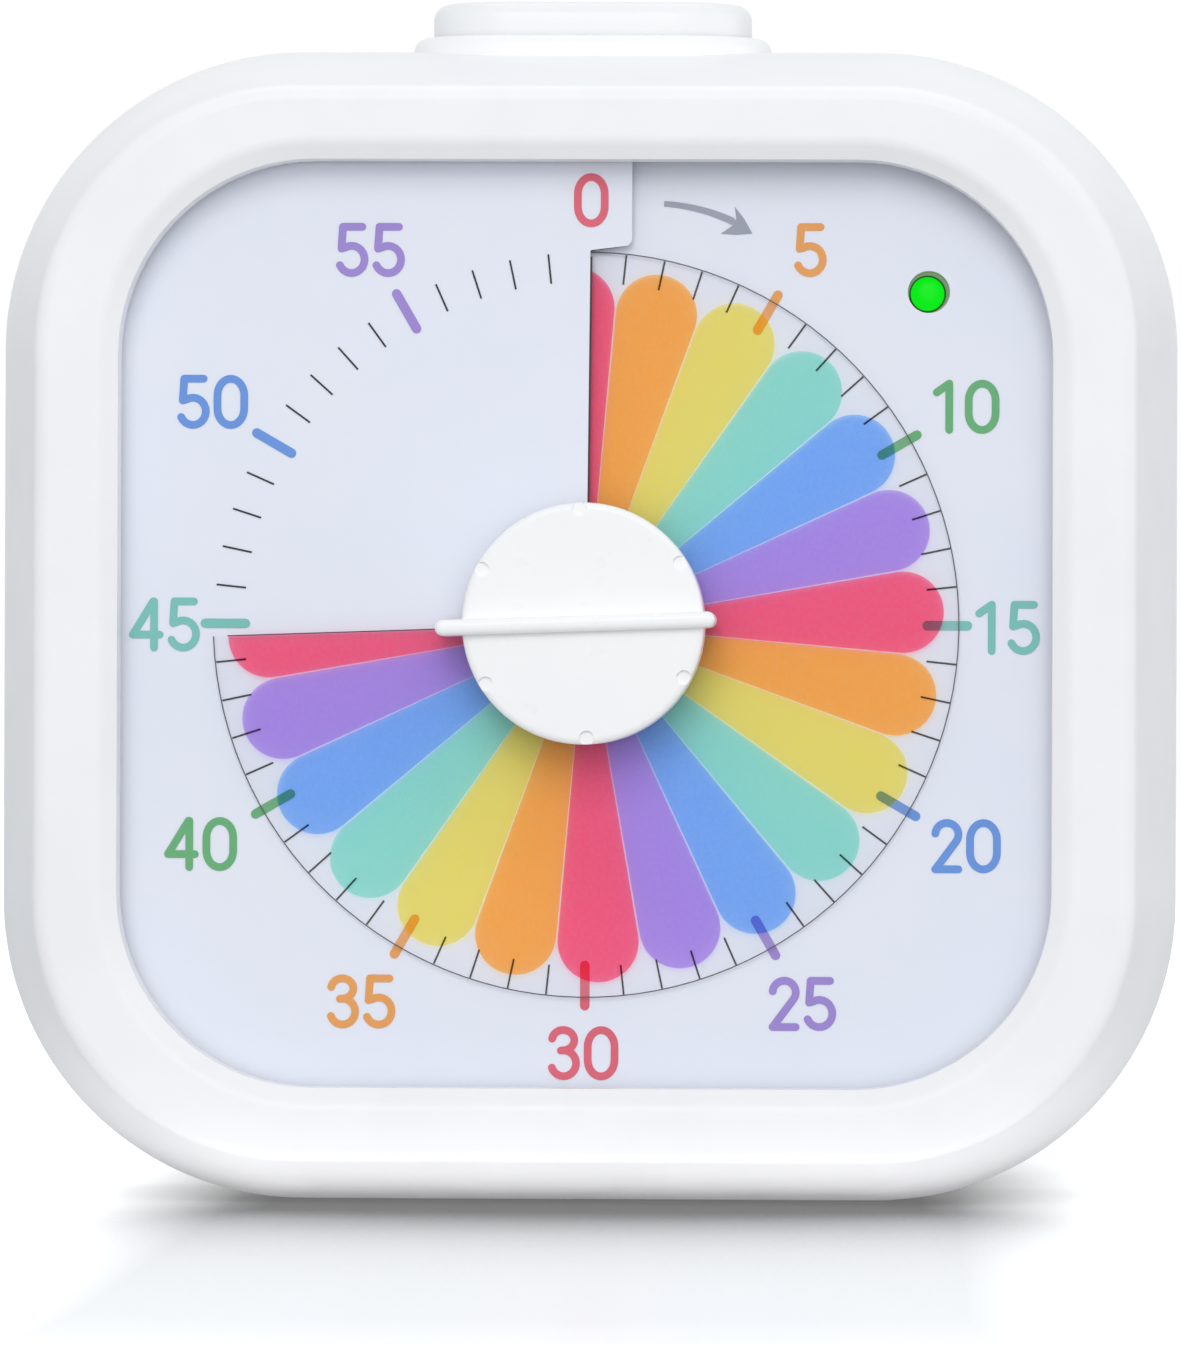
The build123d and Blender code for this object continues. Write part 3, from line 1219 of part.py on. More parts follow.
with BuildPart() as button_cap:
    flange_top = ROOF - TACT_GAP
    flange_bottom = flange_top - BUTTON_FLANGE_THICK
    with BuildSketch(level(flange_bottom)):
        SlotOverall(BUTTON_LENGTH, BUTTON_WIDTH)
    extrude(amount=BUTTON_TOP - flange_bottom)
    fillet(button_cap.faces().sort_by(Axis.Z)[-1].edges(), BUTTON_ROUND)
    with BuildSketch(level(flange_bottom)):
        SlotOverall(BUTTON_LENGTH + 2 * BUTTON_FLANGE, BUTTON_WIDTH)
    extrude(amount=BUTTON_FLANGE_THICK)
    with BuildSketch(level(flange_bottom)):
        SlotOverall(BUTTON_LENGTH - 2 * BUTTON_SKIN, BUTTON_WIDTH - 2 * BUTTON_SKIN)
    extrude(amount=BUTTON_TOP - BUTTON_SKIN - flange_bottom, mode=Mode.SUBTRACT)
    with BuildSketch(level(PLUNGER_TOP + TACT_GAP)):
        Circle(BUTTON_STEM_RADIUS)
    extrude(amount=BUTTON_TOP - BUTTON_SKIN - PLUNGER_TOP - TACT_GAP)

save(button_cap.part, "button_cap")
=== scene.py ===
import bpy
import bmesh
import math
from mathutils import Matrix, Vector
from mathutils.geometry import delaunay_2d_cdt


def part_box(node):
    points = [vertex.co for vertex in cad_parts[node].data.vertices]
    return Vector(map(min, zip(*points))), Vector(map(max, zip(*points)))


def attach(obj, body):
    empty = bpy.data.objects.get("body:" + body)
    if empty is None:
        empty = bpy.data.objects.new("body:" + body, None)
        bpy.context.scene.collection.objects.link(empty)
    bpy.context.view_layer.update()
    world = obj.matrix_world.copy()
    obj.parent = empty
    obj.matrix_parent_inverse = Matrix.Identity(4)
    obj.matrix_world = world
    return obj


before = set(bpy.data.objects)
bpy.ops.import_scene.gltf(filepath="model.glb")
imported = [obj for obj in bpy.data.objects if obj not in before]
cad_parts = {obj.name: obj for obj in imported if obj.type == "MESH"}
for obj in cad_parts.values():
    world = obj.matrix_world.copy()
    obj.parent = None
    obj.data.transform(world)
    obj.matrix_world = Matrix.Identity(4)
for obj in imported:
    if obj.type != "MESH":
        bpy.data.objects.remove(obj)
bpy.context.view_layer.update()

# Looks of a visual countdown timer. Everything is in metres, in the frame of the CAD model:
# the dial faces -Y, +X is to the viewer's right and +Z is up. Dial angles are degrees
# clockwise from 12 o'clock.

MM = 0.001

# ---------------------------------------------------------------- places taken from the frame

PITCH = 1.2 * MM            # how far the card and the film come forward in one full turn
CARD_BORE = 5.4 * MM
SET_ANGLE = 268.0           # where the film's leading edge stands at rest
CARD_THICK = 0.4 * MM
CARD_LAP = 4.0              # the card starts this many degrees before 12 o'clock

arbor_low, arbor_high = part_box("drive_arbor")
film_low, film_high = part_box("film_disc")
lamp_low, lamp_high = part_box("lamp")
cell_low, cell_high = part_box("battery_cells")
card_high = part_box("dial_card")[1]
case_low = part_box("front_shell")[0]
DIAL_X = (arbor_low.x + arbor_high.x) / 2
DIAL_Z = (arbor_low.z + arbor_high.z) / 2
LAMP_X = (lamp_low.x + lamp_high.x) / 2
LAMP_Z = (lamp_low.z + lamp_high.z) / 2
CARD_START_Y = card_high.y - CARD_THICK - PITCH * CARD_LAP / 360
FILM_START_Y = film_low.y + PITCH * SET_ANGLE / 360
FILM_RADIUS = film_high.x - DIAL_X

# ---------------------------------------------------------------- sizes of the print

PRINT_LIFT = 0.05 * MM      # the front of the print stands this far off its sheet
PRINT_THICK = 0.03 * MM
DIGIT_HEIGHT = 4.1 * MM
DIGIT_STROKE = 0.59 * MM
TICK_INNER = 25.95 * MM
TICK_OUTER = 28.2 * MM
TICK_WIDTH = 0.14 * MM
DASH_INNER = 25.85 * MM
DASH_OUTER = 28.9 * MM
DASH_WIDTH = 0.72 * MM
PETAL_STEP = 15.0
PETAL_FIRST = -92.4
PETAL_COUNT = 25
PETAL_TIP_CENTRE = 24.05 * MM
PETAL_TIP_RADIUS = 3.08 * MM
PETAL_TIP_STEPS = 28
PETAL_INNER = 5.4 * MM
PETAL_GAP = 0.03 * MM
EDGE_LINE_WIDTH = 0.09 * MM
CAP_STEPS = 8
CDT_INSIDE = 1              # triangulates only the inside of the outlines
CDT_MERGE = 1e-6 * MM
MINUTE = 6                  # degrees of one minute on the dial
MINUTES_PER_NUMBER = 5
HALF_HOUR = 30
INK_GRAIN = 0.3 * MM
INK_PASSES = 4              # faces of an ink layer that light crosses on its way in and out
INK_THIN = 0.9              # strength of the ink where its grain is thinnest
INK_GLOW = 1.36             # fluorescent inks give back a little more than they get

# ---------------------------------------------------------------- colours

# Screen colours, 0 to 255. Fluorescent inks give back more than the card and pass 255.
PETALS = {
    "pink": (260, 95, 134),
    "orange": (268, 176, 84),
    "yellow": (247, 232, 114),
    "teal": (146, 231, 219),
    "blue": (124, 178, 262),
    "purple": (178, 144, 245),
}
PETAL_ORDER = ("pink", "orange", "yellow", "teal", "blue", "purple")
MARKS = {
    "red": (222, 102, 120),
    "amber": (234, 162, 92),
    "green": (104, 174, 120),
    "sea": (124, 195, 188),
    "sky": (106, 151, 224),
    "violet": (160, 138, 212),
}
MARK_ORDER = ("red", "amber", "green", "sea", "sky", "violet")
CARD_COLOUR = (230, 234, 244)
CARD_SHADE = (229, 233, 245)
SHELL_COLOUR = (246, 246, 247)
SHELL_SHADE = (243, 243, 245)
BUTTON_COLOUR = (240, 241, 241)
BUTTON_SHADE = (238, 238, 240)
KNOB_COLOUR = (249, 249, 249)
KNOB_SHADE = (247, 247, 248)
NICKEL_COLOUR = (196, 194, 188)
NICKEL_SHADE = (176, 174, 168)
JACKET_COLOUR = (64, 78, 104)
JACKET_SHADE = (56, 70, 96)
INK_BLACK = (40, 40, 46)
INK_GREY = (158, 163, 178)
# Colour of the painted shadow in the gap along the card's slit and under its tab
SLIT_SHADOW_PAINT = (66, 50, 58)
EDGE_GREY = (92, 88, 98)
INK_SHADE = 0.97            # an ink's darker patches, as a share of its colour
FILM_TINT = (0.989, 0.988, 0.992, 1)
FILM_INDEX = 1.4
SHEEN = 0.3                 # how much the plastic mirrors
CELL_RIM = 1.2 * MM         # bare metal at the ends of a battery cell

# The lit lamp by the distance from its axis: bright up to the first radius, a ring of painted shade
# for the lamp's side between the second and the third, and a pale painted rim light from the fourth
# on
LAMP_LEAN = 0.1 * MM        # the lit disc stands this far down and left of the lamp's middle, so the painted shade and rim light are widest at the upper right
LAMP_BRIGHT = 1.25 * MM
LAMP_SHADE_FULL = 1.31 * MM
LAMP_SHADE_HOLD = 1.37 * MM
LAMP_RIM_LIGHT_FULL = 1.43 * MM
LAMP_GREEN = (0, 232, 18)
LAMP_SIDE_SHADE = (0, 54, 10)
LAMP_RIM_LIGHT = (118, 142, 108)
LAMP_BODY = (4, 40, 8)
LAMP_SHEEN = 0.15


def linear(colour):
    """Scene-linear RGBA of a screen colour."""
    parts = [c / 255 for c in colour]
    return tuple(c / 12.92 if c <= 0.04045 else ((c + 0.055) / 1.055) ** 2.4 for c in parts) + (1,)


# ---------------------------------------------------------------- materials


def new_material(name):
    """Empty node material and its output."""
    material = bpy.data.materials.new(name)
    material.use_nodes = True
    nodes = material.node_tree.nodes
    nodes.clear()
    return material, nodes, material.node_tree.links, nodes.new("ShaderNodeOutputMaterial")


def noise(nodes, links, scale, detail=4.0):
    """Noise texture on the piece's own coordinates; the scale is the grain's size."""
    place = nodes.new("ShaderNodeTexCoord")
    texture = nodes.new("ShaderNodeTexNoise")
    texture.inputs["Scale"].default_value = 1 / scale
    texture.inputs["Detail"].default_value = detail
    links.new(place.outputs["Object"], texture.inputs["Vector"])
    return texture.outputs["Fac"]


def ramp(nodes, links, source, low, high, low_value, high_value):
    """Maps a value from low..high to low_value..high_value and holds it outside them."""
    node = nodes.new("ShaderNodeMapRange")
    for name, value in zip(
        ("From Min", "From Max", "To Min", "To Max"), (low, high, low_value, high_value)
    ):
        node.inputs[name].default_value = value
    links.new(source, node.inputs["Value"])
    return node.outputs["Result"]


def maths(nodes, links, operation, first, second):
    """Result of one operation on two values, each a socket or a plain number."""
    node = nodes.new("ShaderNodeMath")
    node.operation = operation
    for socket, value in zip(node.inputs, (first, second)):
        if isinstance(value, (int, float)):
            socket.default_value = value
        else:
            links.new(value, socket)
    return node.outputs["Value"]


def blend(nodes, links, factor, first, second):
    """Mix of two colours, each a socket or a plain RGBA value."""
    mix = nodes.new("ShaderNodeMix")
    mix.data_type = "RGBA"
    for name, value in (("A", first), ("B", second)):
        if isinstance(value, tuple):
            mix.inputs[name].default_value = value
        else:
            links.new(value, mix.inputs[name])
    links.new(factor, mix.inputs["Factor"])
    return mix.outputs["Result"]


def mottled(nodes, links, colour, other, grain):
    """Colour that drifts softly between two near shades."""
    drift = ramp(nodes, links, noise(nodes, links, grain), 0.35, 0.65, 0, 1)
    return blend(nodes, links, drift, linear(colour), linear(other))


def bump(nodes, links, grain, height):
    """Fine surface grain of this size and height."""
    node = nodes.new("ShaderNodeBump")
    node.inputs["Distance"].default_value = height
    node.inputs["Strength"].default_value = 1.0
    links.new(noise(nodes, links, grain, 2.0), node.inputs["Height"])
    return node.outputs["Normal"]


def surface(
    name, colour, shade, rough, grain=0.35 * MM, height=0.002 * MM, metallic=0.0, drift=9 * MM
):
    """Moulded plastic, metal or card: a drifting colour, uneven gloss and a fine grain."""
    material, nodes, links, output = new_material(name)
    shader = nodes.new("ShaderNodeBsdfPrincipled")
    shader.inputs["Metallic"].default_value = metallic
    shader.inputs["Specular IOR Level"].default_value = 0.5 if metallic else SHEEN
    links.new(mottled(nodes, links, colour, shade, drift), shader.inputs["Base Color"])
    gloss = ramp(nodes, links, noise(nodes, links, drift / 3), 0.3, 0.7, rough - 0.04, rough + 0.04)
    links.new(gloss, shader.inputs["Roughness"])
    links.new(bump(nodes, links, grain, height), shader.inputs["Normal"])
    links.new(shader.outputs["BSDF"], output.inputs["Surface"])
    return material


def clear_film(name, tint, index, rough):
    """Clear sheet: light passes through with its tint, and the surface is glossy when looked at."""
    material, nodes, links, output = new_material(name)
    through = nodes.new("ShaderNodeBsdfTransparent")
    through.inputs["Color"].default_value = tint
    gloss = nodes.new("ShaderNodeBsdfGlossy")
    gloss.inputs["Roughness"].default_value = rough
    links.new(bump(nodes, links, 14 * MM, 0.01 * MM), gloss.inputs["Normal"])
    fresnel = nodes.new("ShaderNodeFresnel")
    fresnel.inputs["IOR"].default_value = index
    path = nodes.new("ShaderNodeLightPath")
    share = maths(
        nodes, links, "MULTIPLY", fresnel.outputs["Fac"], path.outputs["Is Camera Ray"]
    )
    mix = nodes.new("ShaderNodeMixShader")
    links.new(share, mix.inputs["Fac"])
    links.new(through.outputs["BSDF"], mix.inputs[1])
    links.new(gloss.outputs["BSDF"], mix.inputs[2])
    links.new(mix.outputs["Shader"], output.inputs["Surface"])
    return material


def ink_film(name, colour):
    """Translucent ink on the film: what lies behind shows through, multiplied by the ink."""
    card = linear(CARD_COLOUR)
    tint = [min(INK_GLOW, c / k) ** (1 / INK_PASSES) for c, k in zip(linear(colour)[:3], card[:3])]
    thin = [1 - (1 - c) * INK_THIN for c in tint]
    material, nodes, links, output = new_material(name)
    through = nodes.new("ShaderNodeBsdfTransparent")
    grain = ramp(nodes, links, noise(nodes, links, INK_GRAIN), 0.4, 0.6, 0, 1)
    links.new(blend(nodes, links, grain, (*tint, 1), (*thin, 1)), through.inputs["Color"])
    links.new(through.outputs["BSDF"], output.inputs["Surface"])
    return material


def lamp_glow(name):
    """Lit green lamp with a ring of painted shade for its side and a pale painted rim light, by the
    distance from its axis.
    """
    material, nodes, links, output = new_material(name)
    place = nodes.new("ShaderNodeTexCoord")
    offset = nodes.new("ShaderNodeVectorMath")
    offset.operation = "SUBTRACT"
    offset.inputs[1].default_value = (LAMP_X - LAMP_LEAN, 0, LAMP_Z - LAMP_LEAN)
    links.new(place.outputs["Object"], offset.inputs[0])
    across = nodes.new("ShaderNodeVectorMath")
    across.operation = "MULTIPLY"
    across.inputs[1].default_value = (1, 0, 1)
    links.new(offset.outputs["Vector"], across.inputs[0])
    length = nodes.new("ShaderNodeVectorMath")
    length.operation = "LENGTH"
    links.new(across.outputs["Vector"], length.inputs[0])
    # Painted shade: the dark ring glows dim in place of the lamp's shaded side; painted light: the
    # pale rim glows in place of light it catches
    side_shade = ramp(nodes, links, length.outputs["Value"], LAMP_BRIGHT, LAMP_SHADE_FULL, 0, 1)
    lit = blend(nodes, links, side_shade, linear(LAMP_GREEN), linear(LAMP_SIDE_SHADE))
    edge = ramp(nodes, links, length.outputs["Value"], LAMP_SHADE_HOLD, LAMP_RIM_LIGHT_FULL, 0, 1)
    shader = nodes.new("ShaderNodeBsdfPrincipled")
    shader.inputs["Base Color"].default_value = linear(LAMP_BODY)
    shader.inputs["Roughness"].default_value = 0.45
    shader.inputs["Specular IOR Level"].default_value = LAMP_SHEEN
    shader.inputs["Emission Strength"].default_value = 1.0
    links.new(blend(nodes, links, edge, lit, linear(LAMP_RIM_LIGHT)), shader.inputs["Emission Color"])
    links.new(bump(nodes, links, 0.6 * MM, 0.004 * MM), shader.inputs["Normal"])
    links.new(shader.outputs["BSDF"], output.inputs["Surface"])
    return material


def cell_jacket(name):
    """Plain jacket round the cells, with bare metal at both ends."""
    material, nodes, links, output = new_material(name)
    place = nodes.new("ShaderNodeTexCoord")
    parts = nodes.new("ShaderNodeSeparateXYZ")
    links.new(place.outputs["Object"], parts.inputs["Vector"])
    at_left = maths(nodes, links, "LESS_THAN", parts.outputs["X"], cell_low.x + CELL_RIM)
    at_right = maths(nodes, links, "GREATER_THAN", parts.outputs["X"], cell_high.x - CELL_RIM)
    bare = maths(nodes, links, "MAXIMUM", at_left, at_right)
    jacket = mottled(nodes, links, JACKET_COLOUR, JACKET_SHADE, 6 * MM)
    metal = mottled(nodes, links, NICKEL_COLOUR, NICKEL_SHADE, 2 * MM)
    shader = nodes.new("ShaderNodeBsdfPrincipled")
    links.new(blend(nodes, links, bare, jacket, metal), shader.inputs["Base Color"])
    links.new(bare, shader.inputs["Metallic"])
    gloss = ramp(nodes, links, noise(nodes, links, 3 * MM), 0.3, 0.7, 0.24, 0.34)
    links.new(gloss, shader.inputs["Roughness"])
    links.new(bump(nodes, links, 0.4 * MM, 0.001 * MM), shader.inputs["Normal"])
    links.new(shader.outputs["BSDF"], output.inputs["Surface"])
    return material


def dress(material, *names):
    """Gives CAD nodes this material."""
    for name in names:
        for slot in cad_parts[name].material_slots:
            slot.material = material


dress(
    surface("shell_plastic", SHELL_COLOUR, SHELL_SHADE, 0.38),
    "front_shell", "rear_shell", "battery_door",
)
dress(surface("button_plastic", BUTTON_COLOUR, BUTTON_SHADE, 0.34), "button_cap")
dress(
    surface("knob_plastic", KNOB_COLOUR, KNOB_SHADE, 0.3, 0.5 * MM, 0.0005 * MM),
    "setting_knob",
)
dress(surface("card_sheet", CARD_COLOUR, CARD_SHADE, 0.5, 0.5 * MM, 0.001 * MM), "dial_card")
dress(clear_film("film_clear", FILM_TINT, FILM_INDEX, 0.06), "film_disc")
dress(surface("plate_plastic", (232, 232, 236), (228, 228, 233), 0.45), "dial_plate")
dress(
    surface("inner_plastic", (225, 226, 228), (214, 216, 220), 0.45),
    "drive_hub", "movement_case_front", "movement_case_rear", "coil_bobbin",
)
dress(
    surface("gear_plastic", (236, 232, 220), (228, 222, 206), 0.4),
    "centre_wheel", "idler_wheel", "rotor_pinion",
)
dress(
    surface("steel", (176, 178, 182), (160, 162, 168), 0.3, 0.2 * MM, 0.002 * MM, 1.0, 3 * MM),
    "drive_arbor", "idler_pin", "stator",
)
dress(
    surface(
        "screw_steel", (150, 152, 156), (128, 130, 136), 0.34, 0.15 * MM, 0.003 * MM, 1.0, 1.5 * MM
    ),
    "case_screws", "dial_plate_screws", "movement_screws", "main_board_screws",
)
dress(
    surface("magnet", (72, 72, 76), (60, 60, 64), 0.4, 0.1 * MM, 0.004 * MM, 0.6),
    "rotor_magnet",
)
dress(
    surface("copper_wire", (190, 108, 62), (158, 84, 44), 0.3, 0.12 * MM, 0.03 * MM, 0.9),
    "coil_winding",
)
dress(
    surface("board", (44, 110, 66), (34, 96, 58), 0.4, 0.6 * MM, 0.006 * MM, 0.0, 4 * MM),
    "main_board", "volume_board",
)
dress(
    surface("switch_plastic", (38, 38, 42), (30, 30, 34), 0.4),
    "tact_switch_body", "tact_plunger", "volume_switch_body", "volume_slider",
)
dress(
    surface("buzzer_brass", (206, 170, 96), (186, 150, 78), 0.3, 0.3 * MM, 0.003 * MM, 0.9, 3 * MM),
    "buzzer_disc",
)
dress(
    surface("nickel", NICKEL_COLOUR, NICKEL_SHADE, 0.25, 0.2 * MM, 0.002 * MM, 1.0, 3 * MM),
    "battery_contacts", "battery_springs",
)
dress(cell_jacket("cell_jacket"), "battery_cells")
dress(lamp_glow("lamp_green"), "lamp")

# ---------------------------------------------------------------- flat outlines on the dial


def at_angle(angle, radius):
    """Flat point (x, z) at a dial angle and radius."""
    turned = math.radians(angle)
    return Vector((DIAL_X + radius * math.sin(turned), DIAL_Z + radius * math.cos(turned)))


def stroke(points, width):
    """Outline of a line of this width through flat points, with round ends."""
    points = [Vector(p) for p in points]
    tangents = [
        (points[min(i + 1, len(points) - 1)] - points[max(i - 1, 0)]).normalized()
        for i in range(len(points))
    ]
    normals = [Vector((-t.y, t.x)) * width / 2 for t in tangents]

    def cap(centre, start):
        turn = [math.pi * k / CAP_STEPS for k in range(1, CAP_STEPS)]
        sideways = Vector((start.y, -start.x))
        return [centre + start * math.cos(a) + sideways * math.sin(a) for a in turn]

    left = [p + n for p, n in zip(points, normals)]
    right = [p - n for p, n in zip(points, normals)]
    return left + cap(points[-1], normals[-1]) + right[::-1] + cap(points[0], -normals[0])


def bar(start, end, width):
    """Outline of a straight line of this width with square ends."""
    side = (end - start).orthogonal().normalized() * width / 2
    return [start + side, end + side, end - side, start - side]


def arc(x, y, radius_x, radius_y, start, end, steps=18):
    """Points along an arc; angles are degrees anticlockwise from the right."""
    turns = [math.radians(start + (end - start) * k / steps) for k in range(steps + 1)]
    return [(x + radius_x * math.cos(a), y + radius_y * math.sin(a)) for a in turns]


# Digits drawn by the middle of their strokes, one unit high: strokes and width of each.
OVAL = 0.29
DIGITS = {
    "0": (
        [
            [(2 * OVAL, 0.36)] + arc(OVAL, 0.64, OVAL, 0.36, 0, 180) + [(0, 0.36)],
            [(0, 0.64)] + arc(OVAL, 0.36, OVAL, 0.36, 180, 360) + [(2 * OVAL, 0.64)],
        ],
        2 * OVAL,
    ),
    "1": ([[(0, 0.81), (0.27, 1)], [(0.27, 1), (0.27, 0)]], 0.27),
    "2": (
        [arc(0.25, 0.75, 0.25, 0.25, 175, -38) + [(0.02, 0.02)], [(0.0, 0), (0.5, 0)]],
        0.5,
    ),
    "3": (
        [
            arc(0.24, 0.78, 0.24, 0.22, 172, -90)[:-1] + [(0.19, 0.555)],
            [(0.19, 0.555)] + arc(0.25, 0.28, 0.27, 0.28, 88, -160),
        ],
        0.52,
    ),
    "4": ([[(0.44, 1), (0, 0.28)], [(0, 0.28), (0.58, 0.28)], [(0.46, 1), (0.46, 0)]], 0.58),
    "5": (
        [
            [(0.07, 1), (0.49, 1)],
            [(0.07, 1), (0.04, 0.53)],
            [(0.04, 0.53)] + arc(0.26, 0.295, 0.28, 0.295, 118, -155),
        ],
        0.54,
    ),
}
DIGIT_SPACE = 0.25
SPACE_AFTER_ONE = 0.42


def number_outlines(text, centre):
    """Outlines of a number's strokes, centred on a flat point."""
    unit = DIGIT_HEIGHT - DIGIT_STROKE
    starts, reach = [], 0.0
    for index, digit in enumerate(text):
        starts.append(reach)
        reach += DIGITS[digit][1]
        if index < len(text) - 1:
            reach += SPACE_AFTER_ONE if digit == "1" else DIGIT_SPACE
    origin = Vector(centre) - Vector((reach, 1)) * unit / 2
    return [
        stroke([origin + Vector((start + x, y)) * unit for x, y in line], DIGIT_STROKE)
        for start, digit in zip(starts, text)
        for line in DIGITS[digit][0]
    ]


def petal_outline(middle):
    """Outline of one petal: straight sides that run in to the hub and a round tip."""
    half = PETAL_STEP / 2
    swell = math.asin(PETAL_TIP_RADIUS / PETAL_TIP_CENTRE)
    tip = at_angle(middle, PETAL_TIP_CENTRE)
    out = (tip - Vector((DIAL_X, DIAL_Z))).normalized()
    side = Vector((out.y, -out.x))
    spread = math.pi / 2 + swell
    turns = [spread - 2 * spread * k / PETAL_TIP_STEPS for k in range(PETAL_TIP_STEPS + 1)]
    inner = [at_angle(middle + turn, PETAL_INNER) for turn in (-half, half)]
    inset = [side * PETAL_GAP / 2, -side * PETAL_GAP / 2]
    return (
        [inner[1] + inset[1]]
        + [tip + (side * math.sin(a) + out * math.cos(a)) * PETAL_TIP_RADIUS for a in turns]
        + [inner[0] + inset[0]]
    )


def keep_side(points, angle, way):
    """The part of an outline on one side of the dial's line at this angle."""
    centre = Vector((DIAL_X, DIAL_Z))
    along = (at_angle(angle, 1) - centre).normalized()
    side = Vector((along.y, -along.x)) * way
    kept = []
    for here, after in zip(points, points[1:] + points[:1]):
        a, b = (here - centre).dot(side), (after - centre).dot(side)
        if a >= 0:
            kept.append(here)
        if (a >= 0) != (b >= 0):
            kept.append(here.lerp(after, a / (a - b)))
    return kept


# ---------------------------------------------------------------- thin layers on the winding sheets


def dial_angle(point, middle):
    """Dial angle of a flat point, within half a turn of the middle."""
    turned = math.degrees(math.atan2(point.x - DIAL_X, point.y - DIAL_Z))
    return middle + (turned - middle + 180) % 360 - 180


def card_y(angle):
    """Front of the card at a dial angle."""
    return CARD_START_Y - PITCH * angle / 360


def film_y(angle):
    """Front of the film at a dial angle, at rest."""
    return FILM_START_Y - PITCH * angle / 360


def add_layer(mesh, outlines, sheet_y, middle, lifts=(PRINT_LIFT, PRINT_LIFT - PRINT_THICK)):
    """Adds the union of flat outlines to the mesh as a thin closed layer on a winding sheet."""
    flat, faces = [], []
    for outline in outlines:
        area = sum(a.x * b.y - b.x * a.y for a, b in zip(outline, outline[1:] + outline[:1]))
        ordered = outline if area > 0 else outline[::-1]
        faces.append(list(range(len(flat), len(flat) + len(ordered))))
        flat += ordered
    points, _, triangles, _, _, sources = delaunay_2d_cdt(flat, [], faces, CDT_INSIDE, CDT_MERGE)
    triangles = [t for t, source in zip(triangles, sources) if source]
    layers = []
    for lift in lifts:
        layers.append(
            [mesh.verts.new((p.x, sheet_y(dial_angle(p, middle)) - lift, p.y)) for p in points]
        )
    edges = {}
    for triangle in triangles:
        mesh.faces.new([layers[0][i] for i in triangle])
        mesh.faces.new([layers[1][i] for i in reversed(triangle)])
        for a, b in zip(triangle, triangle[1:] + triangle[:1]):
            edges[(a, b)] = edges.get((a, b), 0) + 1
    for a, b in edges:
        if (b, a) not in edges:
            mesh.faces.new([layers[0][b], layers[0][a], layers[1][a], layers[1][b]])


def piece(name, mesh, body, material):
    """Makes an object of a mesh, and lets it ride on a body."""
    data = bpy.data.meshes.new(name)
    mesh.normal_update()
    mesh.to_mesh(data)
    mesh.free()
    data.materials.append(material)
    thing = bpy.data.objects.new(name, data)
    bpy.context.scene.collection.objects.link(thing)
    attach(thing, body)
    return thing


def printed(name, groups, sheet_y, body, slot, material, **layer):
    """One printed piece from groups of (outlines, dial angle)."""
    mesh = bmesh.new()
    for outlines, middle in groups:
        add_layer(mesh, outlines, sheet_y, middle, **layer)
    return piece(name, mesh, body, material)


def ink(name, colour):
    """Opaque printing ink, also the paint of the painted slit shadow."""
    shade = tuple(INK_SHADE * c for c in colour)
    return surface(name, colour, shade, 0.5, 0.25 * MM, 0.002 * MM)


# ---------------------------------------------------------------- print on the card

# Middles of the numbers, from the dial's centre
NUMBER_PLACES = {
    0: (0.3, 32.15),
    5: (16.9, 28.45),
    10: (28.75, 16.6),
    15: (31.95, -0.15),
    20: (28.85, -16.7),
    25: (16.5, -28.7),
    30: (-0.1, -32.5),
    35: (-16.95, -28.65),
    40: (-29.2, -16.75),
    45: (-32.0, -0.1),
    50: (-28.4, 16.8),
    55: (-16.45, 28.35),
}


def mark_angle(minute):
    """Middle angle of what is printed for a minute; the tab at 0 is past the full turn."""
    return MINUTE * minute if minute else 360


for index, tone in enumerate(MARK_ORDER):
    material = ink(f"ink_{tone}", MARKS[tone])
    for minute in (MINUTES_PER_NUMBER * index, MINUTES_PER_NUMBER * index + HALF_HOUR):
        angle = mark_angle(minute)
        x, z = (value * MM for value in NUMBER_PLACES[minute])
        outlines = number_outlines(str(minute), (DIAL_X + x, DIAL_Z + z))
        printed(f"number_{minute:02d}", [(outlines, angle)], card_y, "case", "card_sheet", material)
        if minute:
            ends = [at_angle(angle, DASH_INNER), at_angle(angle, DASH_OUTER)]
            dash = [([stroke(ends, DASH_WIDTH)], angle)]
            printed(f"dash_{minute:02d}", dash, card_y, "case", "card_sheet", material)

ticks = [
    ([bar(at_angle(angle, TICK_INNER), at_angle(angle, TICK_OUTER), TICK_WIDTH)], angle)
    for angle in (MINUTE * minute for minute in range(1, 60) if minute % MINUTES_PER_NUMBER)
]
printed("minute_ticks", ticks, card_y, "case", "card_sheet", ink("ink_black", INK_BLACK))

# Curved arrow that shows which way to turn, in mm from the dial's centre
ARROW_TAIL = (5.8, 31.95)
ARROW_BEND = (8.65, 31.75)
ARROW_NECK = (11.05, 30.6)
ARROW_THIN = 0.42
ARROW_THICK = 0.56
ARROW_TIP = (12.5, 29.7)
ARROW_BARBS = ((11.15, 31.75), (10.1, 29.68))
ARROW_BULGE = 0.1
ARROW_STEPS = 12
ARROW_ANGLE = 19.0          # where the arrow stands on the dial


